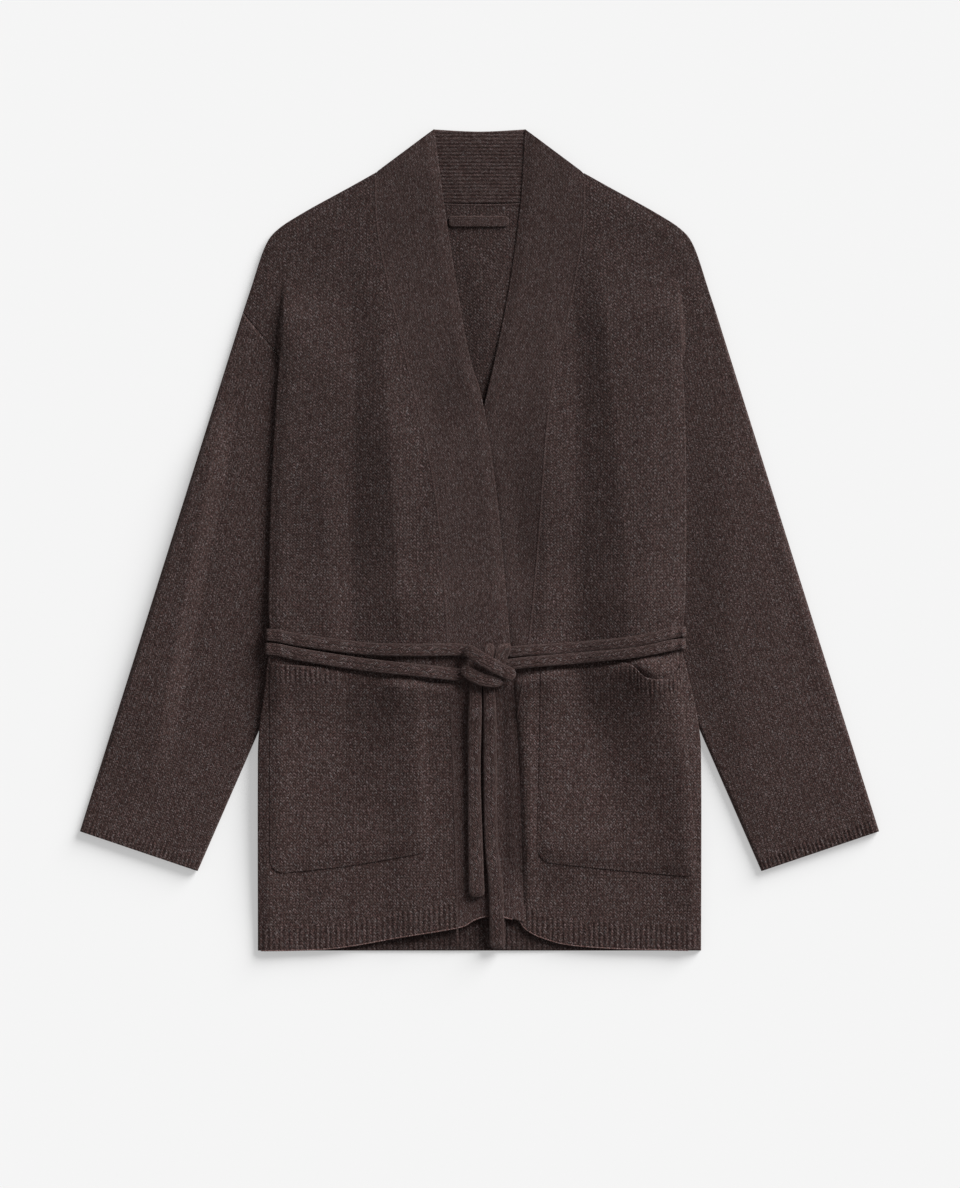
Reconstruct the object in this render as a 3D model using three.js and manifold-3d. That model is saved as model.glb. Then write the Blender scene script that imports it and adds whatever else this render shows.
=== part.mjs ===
// A knitted wrap cardigan laid flat on its back, with its belt tied.
// Millimetres. +X runs across the garment, +Y to its collar and +Z up from the surface it lies on.
// Right and left are the wearer's, so the right side is at -X. The right front laps over the left.
import * as THREE from "three";
import { mergeVertices } from "three/addons/utils/BufferGeometryUtils.js";
import Module from "manifold-3d";

const wasm = await Module();
wasm.setup();

// Driving sizes
const CLOTH = 2.4; // thickness of the knit
const GAP = 0.3; // between pieces that are sewn or lie on each other
const HOLLOW = 1.5; // air between the two layers of the body or of a sleeve
const SLEEVE_HEIGHT = 2 * CLOTH + HOLLOW;
const HEM_Y = -382;
const HEM_RIB = { length: 25, pitch: 4.8 };
const POCKET_RIB = { length: 16, pitch: 4.8 };
const CUFF_RIB = { length: 14, pitch: 4.4, inset: 0.42 };
const NECK_RIB = { length: 96, pitch: 3.4 };
const RIB_HEIGHT = 0.6;
const POCKET_CLOTH = 1.8;
const BELT = { thickness: 3.6, turnThickness: 3, backWidth: 12, tailThickness: 5.2 };
const KNOT_BAND = 4.4; // thickness of the belt where it is drawn into the knot
const EDGE_ROUND = 14; // the fronts come down to the back over this distance from a side

// Where the cloth has come down again beside what lies under it
const SLEEVE_DRAPE = { hold: 14, fall: 80 };
const BELT_DRAPE = { hold: 8, fall: 55 };
const LAP_DRAPE = { hold: 20, fall: 30 };
const CAP_DRAPE = { end: 250, fall: 45 }; // up to this y, and over this length, it follows the caps

const point = (x, y) => new THREE.Vector2(x, y);

// A table's rows as objects with named columns
const table = (columns, rows) =>
  rows.map((row) => Object.fromEntries(columns.map((name, i) => [name, row[i]])));

const smooth = (t) => {
  const c = THREE.MathUtils.clamp(t, 0, 1);
  return c * c * (3 - 2 * c);
};
// 1 up to the distance hold, and 0 from hold + fall
const ramp = (distance, { hold, fall }) => 1 - smooth((distance - hold) / fall);

// A smooth line through the rows of a table, which run from the collar down to the hem
const LINE_STEP = 22;
function line(rows) {
  const curve = new THREE.SplineCurve(rows.map((r) => new THREE.Vector2(r.x, r.y)));
  return curve.getSpacedPoints(Math.ceil(curve.getLength() / LINE_STEP));
}

function xAt(points, y) {
  if (y >= points[0].y) return points[0].x;
  const next = points.findIndex((p) => p.y < y);
  if (next < 0) return points[points.length - 1].x;
  const [a, b] = [points[next - 1], points[next]];
  return a.x + ((b.x - a.x) * (y - a.y)) / (b.y - a.y);
}

function yAt(points, x) {
  const next = points.findIndex((p) => p.x > x);
  const [a, b] = [points[Math.max(next - 1, 0)], points[Math.max(next, 1)]];
  return a.y + ((b.y - a.y) * (x - a.x)) / (b.x - a.x);
}

// The same line moved sideways by a distance, to its left where that is above 0
function shifted(points, distance) {
  return points.map((p, i) => {
    const a = points[Math.max(i - 1, 0)];
    const b = points[Math.min(i + 1, points.length - 1)];
    const along = b.clone().sub(a).normalize();
    return new THREE.Vector2(p.x - along.y * distance, p.y + along.x * distance);
  });
}

function distanceTo(points, x, y) {
  let best = Infinity;
  const p = new THREE.Vector3(x, y, 0);
  for (let i = 1; i < points.length; i++) {
    const part = new THREE.Line3(
      new THREE.Vector3(points[i - 1].x, points[i - 1].y, 0),
      new THREE.Vector3(points[i].x, points[i].y, 0),
    );
    best = Math.min(best, part.closestPointToPoint(p, true, new THREE.Vector3()).distanceTo(p));
  }
  return best;
}

function inside(polygon, x, y) {
  let odd = false;
  polygon.forEach((a, i) => {
    const b = polygon[(i + 1) % polygon.length];
    if (a.y > y !== b.y > y && x < a.x + ((b.x - a.x) * (y - a.y)) / (b.y - a.y)) odd = !odd;
  });
  return odd;
}

// Seams and edges of the body. Each row is a point, and each line ends past the hem.
const PAST_HEM = -400;

const shoulderRight = line(
  table(["x", "y"], [
    [-97, 341], [-122, 327], [-162, 305], [-188, 288], [-200, 271], [-213, 232], [-220, 211],
  ]),
);
const sideRight = line(
  table(["x", "y"], [
    [-186, 170], [-190, 111], [-194, 37], [-196, -56], [-195, -90], [-199, -135],
    [-205, -180], [-206, -230], [-206, HEM_Y], [-206, PAST_HEM],
  ]),
);
const creaseRight = line(table(["x", "y"], [[-180, 241], [-181, 223], [-184, 191], [-186, 170]]));
const shoulderLeft = shoulderRight.map((p) => new THREE.Vector2(-p.x, p.y));
const sideLeft = line(
  table(["x", "y"], [
    [188, 170], [191, 111], [192, 18], [191, -56], [188, -98], [195, -130],
    [204, -175], [206, -220], [206, HEM_Y], [206, PAST_HEM],
  ]),
);
const creaseLeft = line(table(["x", "y"], [[182, 241], [185, 219], [187, 191], [188, 170]]));

const bandSeamRight = line(
  table(["x", "y"], [
    [-97, 341], [-95, 290], [-83, 228], [-62, 140], [-44, 60], [-35, -19],
    [-29, -110], [-24, -230], [-21, -349], [-20, PAST_HEM],
  ]),
);
const frontEdgeRight = line(
  table(["x", "y"], [
    [-42, 382], [-36, 335], [-25, 260], [-10, 174], [3, 128], [17, 33], [28, -91],
    [35, -174], [39, -261], [41, -343], [41, PAST_HEM],
  ]),
);
const bandSeamLeft = line(
  table(["x", "y"], [
    [97, 341], [96, 290], [85, 223], [65, 126], [55, 2], [46, -93], [35, -170], [30, -242],
    [24, -342], [23, PAST_HEM],
  ]),
);
const frontEdgeLeft = line(
  table(["x", "y"], [
    [42, 382], [38, 314], [28, 239], [14, 167], [4, 124], [-9, 65], [-20, -19], [-34, -174],
    [-40, -261], [-42, PAST_HEM],
  ]),
);
const hemRight = line(
  table(["x", "y"], [
    [-215, HEM_Y], [-139, -380], [-74, -369.5], [-18, -360], [-4, -353], [10, -349.5],
    [23, -351], [42, -355.5],
  ]),
);
const hemLeft = line(
  table(["x", "y"], [
    [-50, -339], [0, -343.5], [24, -346], [36, -352], [42, -361], [50, -366.5], [71, -374],
    [92, -377.5], [131, -380], [215, HEM_Y],
  ]),
);
const neckSeam = line(table(["x", "y"], [[-97, 341], [-60, 316], [0, 311], [60, 316], [97, 341]]));
const collarTop = line(table(["x", "y"], [[42, 382], [0, 380], [-42, 382]]));

// The sleeves' corners. The armhole end lies under the body, where the sleeve is folded behind it.
const sleeve = {
  capOuter: new THREE.Vector2(-220, 211),
  capInner: new THREE.Vector2(-99, 65),
  cuffOuter: new THREE.Vector2(-371.5, -271),
  cuffInner: new THREE.Vector2(-262, -308),
};
const mirrored = (p) => new THREE.Vector2(-p.x, p.y);
const sleeveRight = [sleeve.capOuter, sleeve.cuffOuter, sleeve.cuffInner, sleeve.capInner];
const sleeveLeft = sleeveRight.map(mirrored);

// The two stretches of belt behind the back, by their middles at the right and left sides
const beltBack = table(
  ["name", "rightY", "leftY"],
  [
    ["belt_back_upper", -88.5, -85.5],
    ["belt_back_lower", -101.5, -97.5],
  ],
);
const BELT_BACK_Y = -93;
const BELT_BACK_HALF = 15;

// Soft folds of the fronts. Each has a crest from its top to its bottom end, a height at both, the
// widths of its right and left flanks there, and the lengths over which it fades out past its ends.
const folds = table(
  [
    "topX", "topY", "bottomX", "bottomY", "topHeight", "bottomHeight", "topRight", "topLeft",
    "bottomRight", "bottomLeft", "fadeUp", "fadeDown",
  ],
  [
    [-86, 150, -71, -90, 8, 13, 26, 130, 44, 120, 140, 190],
    [-143, 40, -139, -85, 2.4, 2.4, 28, 17, 28, 17, 60, 40],
    [62, 110, 58, -90, 6.5, 8, 120, 32, 120, 34, 170, 60],
    [119, 190, 143, -90, 7, 11.5, 25, 110, 54, 150, 110, 240],
    [47, -130, 48, -275, 8.5, 8.5, 22, 46, 22, 82, 60, 60],
    [-37, 335, -6, 160, 2.5, 2.5, 60, 20, 60, 20, 40, 50],
  ],
);
const CREST_RADIUS = 4;
const FLANK_POWER = 1.2;

// The belt presses the folds down. Beside it they rise again, and the cloth bulges below it.
const beltTop = line(
  table(["x", "y"], [
    [-205, -81], [-165, -86], [-107, -94], [-60, -95.5], [-7, -97], [40, -97.5], [112, -92],
    [149, -87.5], [205, -79],
  ]),
);
const beltLow = line(
  table(["x", "y"], [
    [-205, -107], [-165, -114], [-107, -123], [-55, -128.5], [-11, -132], [30, -128], [56, -121],
    [112, -115], [149, -110], [205, -101],
  ]),
);
const BELT_PRESS = { share: 0.3, above: 50, below: 11 };
const BELT_BULGE = { height: 4.2, rise: 5, hold: 8, fall: 42 };
const hollows = table(["x", "spread"], [[-176, 10], [-98, 20]]); // where less cloth bulges
const HOLLOW_SHARE = 0.45;
const SIDE_ROLL = { height: 1.2, rise: 9, fall: 34, top: 235 }; // the fronts beside the side folds

function foldHeight(x, y) {
  const total = folds.reduce((sum, f) => {
    const down = (f.topY - y) / (f.topY - f.bottomY);
    const share = THREE.MathUtils.clamp(down, 0, 1);
    const crest = THREE.MathUtils.lerp(f.topX, f.bottomX, down);
    const fadedIn = smooth((f.topY + f.fadeUp - y) / f.fadeUp);
    const fade = fadedIn * smooth((y - f.bottomY + f.fadeDown) / f.fadeDown);
    const flank = x < crest
      ? THREE.MathUtils.lerp(f.topRight, f.bottomRight, share)
      : THREE.MathUtils.lerp(f.topLeft, f.bottomLeft, share);
    const off = Math.hypot(x - crest, CREST_RADIUS) - CREST_RADIUS;
    const height = THREE.MathUtils.lerp(f.topHeight, f.bottomHeight, share);
    return sum + height * fade * Math.max(1 - off / flank, 0) ** FLANK_POWER;
  }, 0);
  const above = Math.max(y - yAt(beltTop, x), 0);
  const below = Math.max(yAt(beltLow, x) - y, 0);
  const letGo = smooth(above / BELT_PRESS.above) + smooth(below / BELT_PRESS.below);
  const pressed = BELT_PRESS.share * (1 - letGo);
  const held = hollows.reduce(
    (part, h) => part * (1 - HOLLOW_SHARE * Math.exp(-(((x - h.x) / h.spread) ** 2))), 1,
  );
  const bulge = BELT_BULGE.height * smooth(below / BELT_BULGE.rise) * ramp(below, BELT_BULGE) * held;
  return total * (1 - pressed) + bulge;
}

// Heights of the layers
const foldLineRight = [...creaseRight, ...sideRight.slice(1)];
const foldLineLeft = [...creaseLeft, ...sideLeft.slice(1)];
const CREASE_WIDTH = 3;

// 1 on the body between its side folds, and 0 on the shoulder caps outside them
function onBody(x, y) {
  const width = CREASE_WIDTH - 1;
  const right = (x - xAt(foldLineRight, y) + CREASE_WIDTH) / width;
  const left = (xAt(foldLineLeft, y) + CREASE_WIDTH - x) / width;
  return smooth(right) * smooth(left);
}

function sleeveLift(x, y) {
  const reach = [sleeveRight, sleeveLeft].map((corners) =>
    inside(corners, x, y) ? 0 : distanceTo([...corners, corners[0]], x, y),
  );
  const cap = smooth((CAP_DRAPE.end - y) / CAP_DRAPE.fall);
  return (SLEEVE_HEIGHT + GAP) * ramp(Math.min(...reach), SLEEVE_DRAPE) * cap * onBody(x, y);
}

function backBottom(x, y) {
  const toBelt = Math.abs(y - BELT_BACK_Y) - BELT_BACK_HALF;
  return sleeveLift(x, y) + (BELT.turnThickness + GAP) * ramp(toBelt, BELT_DRAPE) * onBody(x, y);
}

// The folds come down to nothing over these distances from the shoulders and from the sides
const FOLD_EASE = { shoulder: 50, side: 38 };

function underFront(x, y) {
  const nearest = (edges) => Math.min(...edges.map((e) => distanceTo(e, x, y)));
  const toShoulder = nearest([shoulderRight, shoulderLeft, collarTop]);
  const toSide = nearest([sideRight, sideLeft]);
  const eased = smooth(toShoulder / FOLD_EASE.shoulder) * smooth(toSide / FOLD_EASE.side);
  const inward = Math.min(x - xAt(foldLineRight, y), xAt(foldLineLeft, y) - x);
  const roll = smooth(inward / SIDE_ROLL.rise) * (1 - smooth((inward - SIDE_ROLL.rise) / SIDE_ROLL.fall))
    * smooth((SIDE_ROLL.top - y) / FOLD_EASE.shoulder);
  const puff = (HOLLOW - GAP) * smooth(Math.min(toShoulder, toSide) / EDGE_ROUND);
  return backBottom(x, y) + CLOTH + GAP + puff + foldHeight(x, y) * eased + SIDE_ROLL.height * roll;
}

const onLapped = (x, y) => ramp(xAt(frontEdgeLeft, y) - x, LAP_DRAPE);

// The grid that every layer of the body shares, so that the layers keep their distance
const ROWS = [
  -402, -372, -340, -300, -262, -226, -194, -168, -146, -132, -114, -93, -72, -45, -12, 22, 56, 88,
  116, 143, 171, 190, 209, 226, 243, 266, 294, 322, 350, 386,
];
const MIDDLE_STEPS = 15;
const SIDE_STATIONS = [-48, -24, -CREASE_WIDTH, -1];
const SIDE_INSET = 5;

function stationsAt(y) {
  const right = xAt(foldLineRight, y);
  const left = xAt(foldLineLeft, y);
  const middle = Array.from({ length: MIDDLE_STEPS + 1 }, (_, i) =>
    THREE.MathUtils.lerp(right + SIDE_INSET, left - SIDE_INSET, i / MIDDLE_STEPS),
  );
  const rightSide = SIDE_STATIONS.map((d) => right + d);
  const leftSide = [...SIDE_STATIONS].reverse().map((d) => left - d);
  return [...rightSide, ...middle, ...leftSide];
}

const stations = ROWS.map(stationsAt);
const onGrid = (height) => ROWS.map((y, j) => stations[j].map((x) => height(x, y)));

const floor = onGrid(sleeveLift);
const back = onGrid(backBottom);
const lower = onGrid(underFront);
const lap = onGrid(onLapped);
const upper = lower.map((row, j) => row.map((z, i) => z + (CLOTH + GAP) * lap[j][i]));
const raised = (grid, by) => grid.map((row) => row.map((z) => z + by));

// The height of a layer's underside at a point, on the same triangles as its solid
function heightAt(grid, x, y) {
  const j = THREE.MathUtils.clamp(ROWS.findIndex((r) => r > y) - 1, 0, ROWS.length - 2);
  const t = (y - ROWS[j]) / (ROWS[j + 1] - ROWS[j]);
  const across = stations[j].map((s, i) => s + (stations[j + 1][i] - s) * t);
  const next = across.findIndex((s) => s > x);
  const i = THREE.MathUtils.clamp(next - 1, 0, across.length - 2);
  const s = THREE.MathUtils.clamp((x - across[i]) / (across[i + 1] - across[i]), 0, 1);
  const [a, b] = [grid[j][i], grid[j][i + 1]];
  const [d, c] = [grid[j + 1][i], grid[j + 1][i + 1]];
  return s > t ? a + (b - a) * s + (c - b) * t : a + (c - d) * s + (d - a) * t;
}

// Solids
function solidOf(vertices, triangles) {
  return new wasm.Manifold(
    new wasm.Mesh({
      numProp: 3,
      vertProperties: new Float32Array(vertices.flat()),
      triVerts: new Uint32Array(triangles.flat()),
    }),
  );
}

function solidOfGeometry(geometry) {
  geometry.deleteAttribute("normal");
  geometry.deleteAttribute("uv");
  const merged = mergeVertices(geometry, 1e-4);
  return new wasm.Manifold(
    new wasm.Mesh({
      numProp: 3,
      vertProperties: merged.attributes.position.array,
      triVerts: new Uint32Array(merged.index.array),
    }),
  );
}

// Two faces of a grid of points, one over the other, closed round their rims
function shell(bottom, top) {
  const [rows, columns] = [bottom.length, bottom[0].length];
  const at = (j, i) => j * columns + i;
  const over = rows * columns;
  const triangles = [];
  const quad = (a, b, c, d) => triangles.push([a, b, c], [a, c, d]);
  for (let j = 0; j + 1 < rows; j++) {
    for (let i = 0; i + 1 < columns; i++) {
      const [a, b, c, d] = [at(j, i), at(j, i + 1), at(j + 1, i + 1), at(j + 1, i)];
      quad(over + a, over + b, over + c, over + d);
      triangles.push([a, c, b], [a, d, c]);
    }
  }
  for (let i = 0; i + 1 < columns; i++) {
    quad(at(0, i), at(0, i + 1), over + at(0, i + 1), over + at(0, i));
    quad(at(rows - 1, i + 1), at(rows - 1, i), over + at(rows - 1, i), over + at(rows - 1, i + 1));
  }
  const last = columns - 1;
  for (let j = 0; j + 1 < rows; j++) {
    quad(at(j + 1, 0), at(j, 0), over + at(j, 0), over + at(j + 1, 0));
    quad(at(j, last), at(j + 1, last), over + at(j + 1, last), over + at(j, last));
  }
  return solidOf([...bottom.flat(), ...top.flat()], triangles);
}

// The space between two layer heights over the whole grid
function layer(bottom, top) {
  const points = (grid) => ROWS.map((y, j) => stations[j].map((x, i) => [x, y, grid[j][i]]));
  return shell(points(bottom), points(top));
}

const TALL = 80;
function prism(outline) {
  const shape = new THREE.Shape(outline);
  const geometry = new THREE.ExtrudeGeometry(shape, { depth: TALL, bevelEnabled: false, curveSegments: 4 });
  return solidOfGeometry(geometry.translate(0, 0, -TALL / 4));
}

// A corrugated strip of ribs from each start point over the vector reach, half sunk into a layer
function ribs(start, count, reach, surface) {
  const points = (sink) =>
    [0, 1].map((end) =>
      Array.from({ length: 2 * count + 1 }, (_, k) => {
        const p = start(k / (2 * count));
        const [x, y] = [p.x + reach.x * end, p.y + reach.y * end];
        return [x, y, surface(x, y) + (sink ? -CLOTH / 2 : k % 2 ? RIB_HEIGHT : 0.05)];
      }),
    );
  return shell(points(true), points(false));
}

const ribCount = (length, { pitch }) => Math.round(length / pitch);
const between = (a, b) => [...a, ...[...b].reverse()];
const FRAME = 440;

// All that lies on one side of a line that runs down the garment, or across it from the right
const besideLine = (points, side) =>
  prism([...points, point(side * FRAME, -FRAME), point(side * FRAME, FRAME)]);
const aboveLine = (points) => prism([...points, point(FRAME, FRAME), point(-FRAME, FRAME)]);
const belowLine = (points) => prism([...points, point(FRAME, -FRAME), point(-FRAME, -FRAME)]);

function hemRibs(hem, fromX, toX, grid) {
  const start = (t) => {
    const x = THREE.MathUtils.lerp(fromX, toX, t);
    return new THREE.Vector2(x, yAt(hem, x) - 2);
  };
  const surface = (x, y) => heightAt(grid, x, y) + CLOTH;
  return ribs(start, ribCount(toX - fromX, HEM_RIB), { x: 0, y: HEM_RIB.length + 2 }, surface);
}

// Body
const armholeRight = [sleeve.capOuter, point(-186, 170)];
const armholeLeft = [mirrored(sleeve.capOuter), point(188, 172.4)];
const outerRight = [...shoulderRight.slice(0, -1), ...shifted(armholeRight, GAP), ...sideRight.slice(1)];
const outerLeft = [...shoulderLeft.slice(0, -1), ...shifted(armholeLeft, -GAP), ...sideLeft.slice(1)];
const bodyRoom = prism([...collarTop, ...between(outerRight, outerLeft)]);
const topped = (points, x) => [point(x, FRAME), ...points];
const bandSeams = {
  right: topped(bandSeamRight, -100),
  left: topped(bandSeamLeft, 100),
};
const frontEdges = {
  right: topped(frontEdgeRight, -46),
  left: topped(frontEdgeLeft, 46),
};
const neckLine = [point(-FRAME, 380), ...neckSeam, point(FRAME, 380)];
const aboveHem = (hem) => aboveLine([point(-FRAME, HEM_Y), ...hem, point(FRAME, HEM_Y)]);

function makeBack() {
  const hem = [point(-215, HEM_Y), point(215, HEM_Y)];
  return layer(back, raised(back, CLOTH))
    .add(hemRibs(hem, -125, 100, back))
    .intersect(bodyRoom)
    .intersect(belowLine(shifted(neckLine, -GAP / 2)))
    .intersect(aboveHem(hem));
}

function makeFrontRight() {
  return layer(upper, raised(upper, CLOTH))
    .add(hemRibs(hemRight, -204, -22, upper))
    .intersect(bodyRoom)
    .intersect(besideLine(shifted(bandSeams.right, -GAP / 2), -1))
    .intersect(aboveHem(hemRight));
}

function makeFrontLeft() {
  return layer(lower, raised(lower, CLOTH))
    .add(hemRibs(hemLeft, 44, 204, lower))
    .intersect(bodyRoom)
    .intersect(besideLine(shifted(bandSeams.left, GAP / 2), 1))
    .intersect(aboveHem(hemLeft));
}

// One ribbed band runs up the right front, round the back of the neck and down the left front
function makeNeckband() {
  const bandRight = besideLine(shifted(bandSeams.right, GAP / 2), 1);
  const bandLeft = besideLine(shifted(bandSeams.left, -GAP / 2), -1);
  const aboveNeck = aboveLine(shifted(neckLine, GAP / 2));
  const right = layer(upper, raised(upper, CLOTH))
    .intersect(bandRight)
    .intersect(besideLine(frontEdges.right, -1))
    .intersect(aboveHem(hemRight));
  const left = layer(lower, raised(lower, CLOTH))
    .intersect(bandLeft)
    .intersect(besideLine(frontEdges.left, 1))
    .intersect(aboveHem(hemLeft));
  const neckRibs = ribs(
    (t) => point(-NECK_RIB.length / 2, THREE.MathUtils.lerp(379, 316, t)),
    ribCount(63, NECK_RIB),
    { x: NECK_RIB.length, y: 0 },
    (x, y) => heightAt(back, x, y) + CLOTH,
  );
  const neck = layer(back, raised(back, CLOTH)).add(neckRibs).intersect(aboveNeck);
  const foldRight = [point(-97, 341), point(-42, 382)];
  const foldLeft = foldRight.map(mirrored);
  const wall = (fold, side, grid) =>
    layer(back, raised(grid, CLOTH))
      .intersect(prism(between(fold, shifted(fold, side * CLOTH))))
      .intersect(aboveNeck);
  return right
    .add(neck)
    .add(wall(foldRight, -1, upper).intersect(bandRight))
    .add(left)
    .add(wall(foldLeft, 1, lower).intersect(bandLeft))
    .intersect(bodyRoom);
}

function roundedOutline(corners, radius) {
  const shape = new THREE.Shape();
  corners.forEach((corner, i) => {
    const before = corners[(i + corners.length - 1) % corners.length];
    const after = corners[(i + 1) % corners.length];
    const from = corner.clone().add(before.clone().sub(corner).setLength(radius));
    const to = corner.clone().add(after.clone().sub(corner).setLength(radius));
    if (i) shape.lineTo(from.x, from.y);
    else shape.moveTo(from.x, from.y);
    shape.quadraticCurveTo(corner.x, corner.y, to.x, to.y);
  });
  return shape.getPoints(3);
}

const pocketRight = {
  mouth: line(table(["x", "y"], [[-195, -114.5], [-165, -117], [-135, -117], [-92, -115], [-50, -117]])),
  body: table(["x", "y"], [[-45, -290], [-120, -303], [-195, -311]]),
};
const pocketLeft = {
  mouth: line(
    table(["x", "y"], [
      [57, -112], [103, -110], [138, -115], [152, -126.5], [163, -129.5], [175, -128],
      [184, -121], [187, -114],
    ]),
  ),
  body: table(["x", "y"], [[193, -138], [202, -180], [203, -314], [120, -306.5], [53, -299]]),
};

const MOUTH_GAPE = { height: 2.6, x: 166, spread: 20, y: -165, rise: 50 };
const CORNER = 12;
const RIBS_TO = 112; // nearer the middle the ribs of the mouths are stretched flat

function mouthGape(x, y) {
  const near = Math.exp(-(((x - MOUTH_GAPE.x) / MOUTH_GAPE.spread) ** 2));
  return MOUTH_GAPE.height * near * smooth((y - MOUTH_GAPE.y) / MOUTH_GAPE.rise);
}

// A patch pocket is made from the panel's own points, moved out. The left one gapes at its mouth.
function makePocket({ mouth, body }, grid) {
  const corners = body.map((r) => new THREE.Vector2(r.x, r.y));
  const rounded = roundedOutline([mouth[mouth.length - 1], ...corners, mouth[0]], CORNER);
  const lowest = rounded.filter((p) => p.y < mouth[0].y - CORNER - 2);
  const outline = [...mouth, ...lowest];
  const gape = onGrid(mouthGape);
  const bottom = grid.map((row, j) => row.map((z, i) => z + CLOTH + GAP + gape[j][i]));
  const surface = (x, y) => heightAt(bottom, x, y) + POCKET_CLOTH;
  const [fromX, toX] = mouth[0].x < 0 ? [mouth[0].x, -RIBS_TO] : [RIBS_TO, mouth[mouth.length - 1].x];
  const start = (t) => {
    const x = THREE.MathUtils.lerp(fromX, toX, t);
    return new THREE.Vector2(x, yAt(mouth, x) - POCKET_RIB.length);
  };
  const rib = ribs(start, ribCount(toX - fromX, POCKET_RIB), { x: 0, y: POCKET_RIB.length + 2 }, surface);
  return layer(bottom, raised(bottom, POCKET_CLOTH)).add(rib).intersect(prism(outline));
}

// A narrow knitted strip under the neck seam, by which the cardigan is hung up
function makeHangerLoop() {
  const corners = table(["x", "y"], [[-29, 301], [27, 301], [27, 290.5], [-29, 290.5]]);
  const outline = roundedOutline(corners.map((r) => new THREE.Vector2(r.x, r.y)), 3);
  const bottom = raised(back, CLOTH + GAP);
  return layer(bottom, raised(bottom, 1.8)).intersect(prism(outline));
}

// Sleeves: rings from the armhole to the cuff, each a flattened tube with a flat underside
const SLEEVE_RINGS = 12;
const TOP_POINTS = [7, 3]; // outside the body's side fold and behind it
const COVER_MARGIN = 6; // a sleeve's folds have ended this far outside the body's side fold
const COVER_STEPS = 59; // in looking for that place
const COVER_LAST = 50; // past this step a ring counts as clear of the body
const CLEAR_LIMIT = 0.72; // the share of such a ring's width where its points change their spacing
// A dome across each sleeve: its top's share of the way from the outer edge, and its height
const domes = { [-1]: { top: 0.3, height: 0.8 }, 1: { top: 0.78, height: 5.5 } };
// A ridge along each sleeve: its ends, its height and the widths of its flanks to -X and +X
const ridges = {
  [-1]: { top: point(-238, 130), bottom: point(-303, -185), height: 6.5, flanks: [70, 16] },
  1: { top: point(288, 0), bottom: point(330, -150), height: 1.5, flanks: [16, 16] },
};
const RIDGE_RADIUS = 2;
const RIDGE_FADE = 60;

const evenly = (start, end, count, steps) =>
  Array.from({ length: count }, (_, k) => THREE.MathUtils.lerp(start, end, k / steps));

// How far a point lies outside the body's side fold
const beyondBody = (side, p) => (side < 0 ? xAt(sideRight, p.y) - p.x : -p.x - xAt(sideLeft, p.y));

// The folds along a sleeve's face die out at its ends, and before the body's side fold
function crown(side, across, along, p) {
  const clear = smooth(along / 0.3) * smooth((1 - along) / 0.16) * smooth(across / 0.06);
  const dome = domes[side];
  const reach = across < dome.top ? dome.top : 1 - dome.top;
  const { top, bottom, height, flanks } = ridges[side];
  const [x, y] = [-side * p.x, p.y];
  const crest = THREE.MathUtils.lerp(top.x, bottom.x, (top.y - y) / (top.y - bottom.y));
  const fade = smooth((top.y + RIDGE_FADE / 2 - y) / RIDGE_FADE)
    * smooth((y - bottom.y + RIDGE_FADE) / (2 * RIDGE_FADE));
  const off = Math.hypot(x - crest, RIDGE_RADIUS) - RIDGE_RADIUS;
  const ridge = height * fade * Math.max(1 - off / flanks[x < crest ? 0 : 1], 0);
  const swell = dome.height * Math.max(1 - ((across - dome.top) / reach) ** 2, 0);
  return (swell + ridge) * clear * smooth((beyondBody(side, p) - 2) / 45);
}

function sleeveRing(side, along, inset) {
  const from = sleeve.capOuter.clone().lerp(sleeve.cuffOuter, along);
  const to = sleeve.capInner.clone().lerp(sleeve.cuffInner, along);
  const width = from.distanceTo(to);
  const centre = SLEEVE_HEIGHT / 2;
  const radius = centre - inset;
  const section = [];
  const arc = (x, start, end) => {
    for (const share of [0.25, 0.5, 0.75]) {
      const angle = THREE.MathUtils.lerp(start, end, share);
      section.push([x + radius * Math.cos(angle), centre + radius * Math.sin(angle)]);
    }
  };
  const spot = (x) => from.clone().lerp(to, x / width);
  section.push([centre, inset], [width - centre, inset]);
  arc(width - centre, -Math.PI / 2, Math.PI / 2);
  const shares = evenly(centre, width - centre, COVER_STEPS + 1, COVER_STEPS);
  const covered = shares.findIndex((x) => beyondBody(side, spot(x)) < COVER_MARGIN);
  const clearOfBody = covered < 0 || covered > COVER_LAST;
  const limit = clearOfBody ? width * CLEAR_LIMIT : Math.max(shares[covered], centre + 2);
  const [shown, hidden] = TOP_POINTS;
  const tops = [...evenly(centre, limit, shown, shown), ...evenly(limit, width - centre, hidden, hidden - 1)];
  for (const x of tops.reverse()) {
    section.push([x, SLEEVE_HEIGHT - inset + crown(side, x / width, along, spot(x))]);
  }
  arc(centre, Math.PI / 2, (3 * Math.PI) / 2);
  return section.map(([x, z]) => {
    const p = spot(x);
    return [-side * p.x, p.y, z];
  });
}

// A wall between outer rings and inner rings, open at both ends
function tube(outer, inner, flip) {
  const [rings, count] = [outer.length, outer[0].length];
  const at = (part, k, i) => (part * rings + k) * count + (i % count);
  const triangles = [];
  const quad = (a, b, c, d) =>
    flip ? triangles.push([a, c, b], [a, d, c]) : triangles.push([a, b, c], [a, c, d]);
  for (let i = 0; i < count; i++) {
    for (let k = 0; k + 1 < rings; k++) {
      quad(at(0, k, i), at(0, k, i + 1), at(0, k + 1, i + 1), at(0, k + 1, i));
      quad(at(1, k, i + 1), at(1, k, i), at(1, k + 1, i), at(1, k + 1, i + 1));
    }
    quad(at(1, 0, i), at(1, 0, i + 1), at(0, 0, i + 1), at(0, 0, i));
    quad(at(0, rings - 1, i), at(0, rings - 1, i + 1), at(1, rings - 1, i + 1), at(1, rings - 1, i));
  }
  return solidOf([...outer.flat(), ...inner.flat()], triangles);
}

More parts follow.
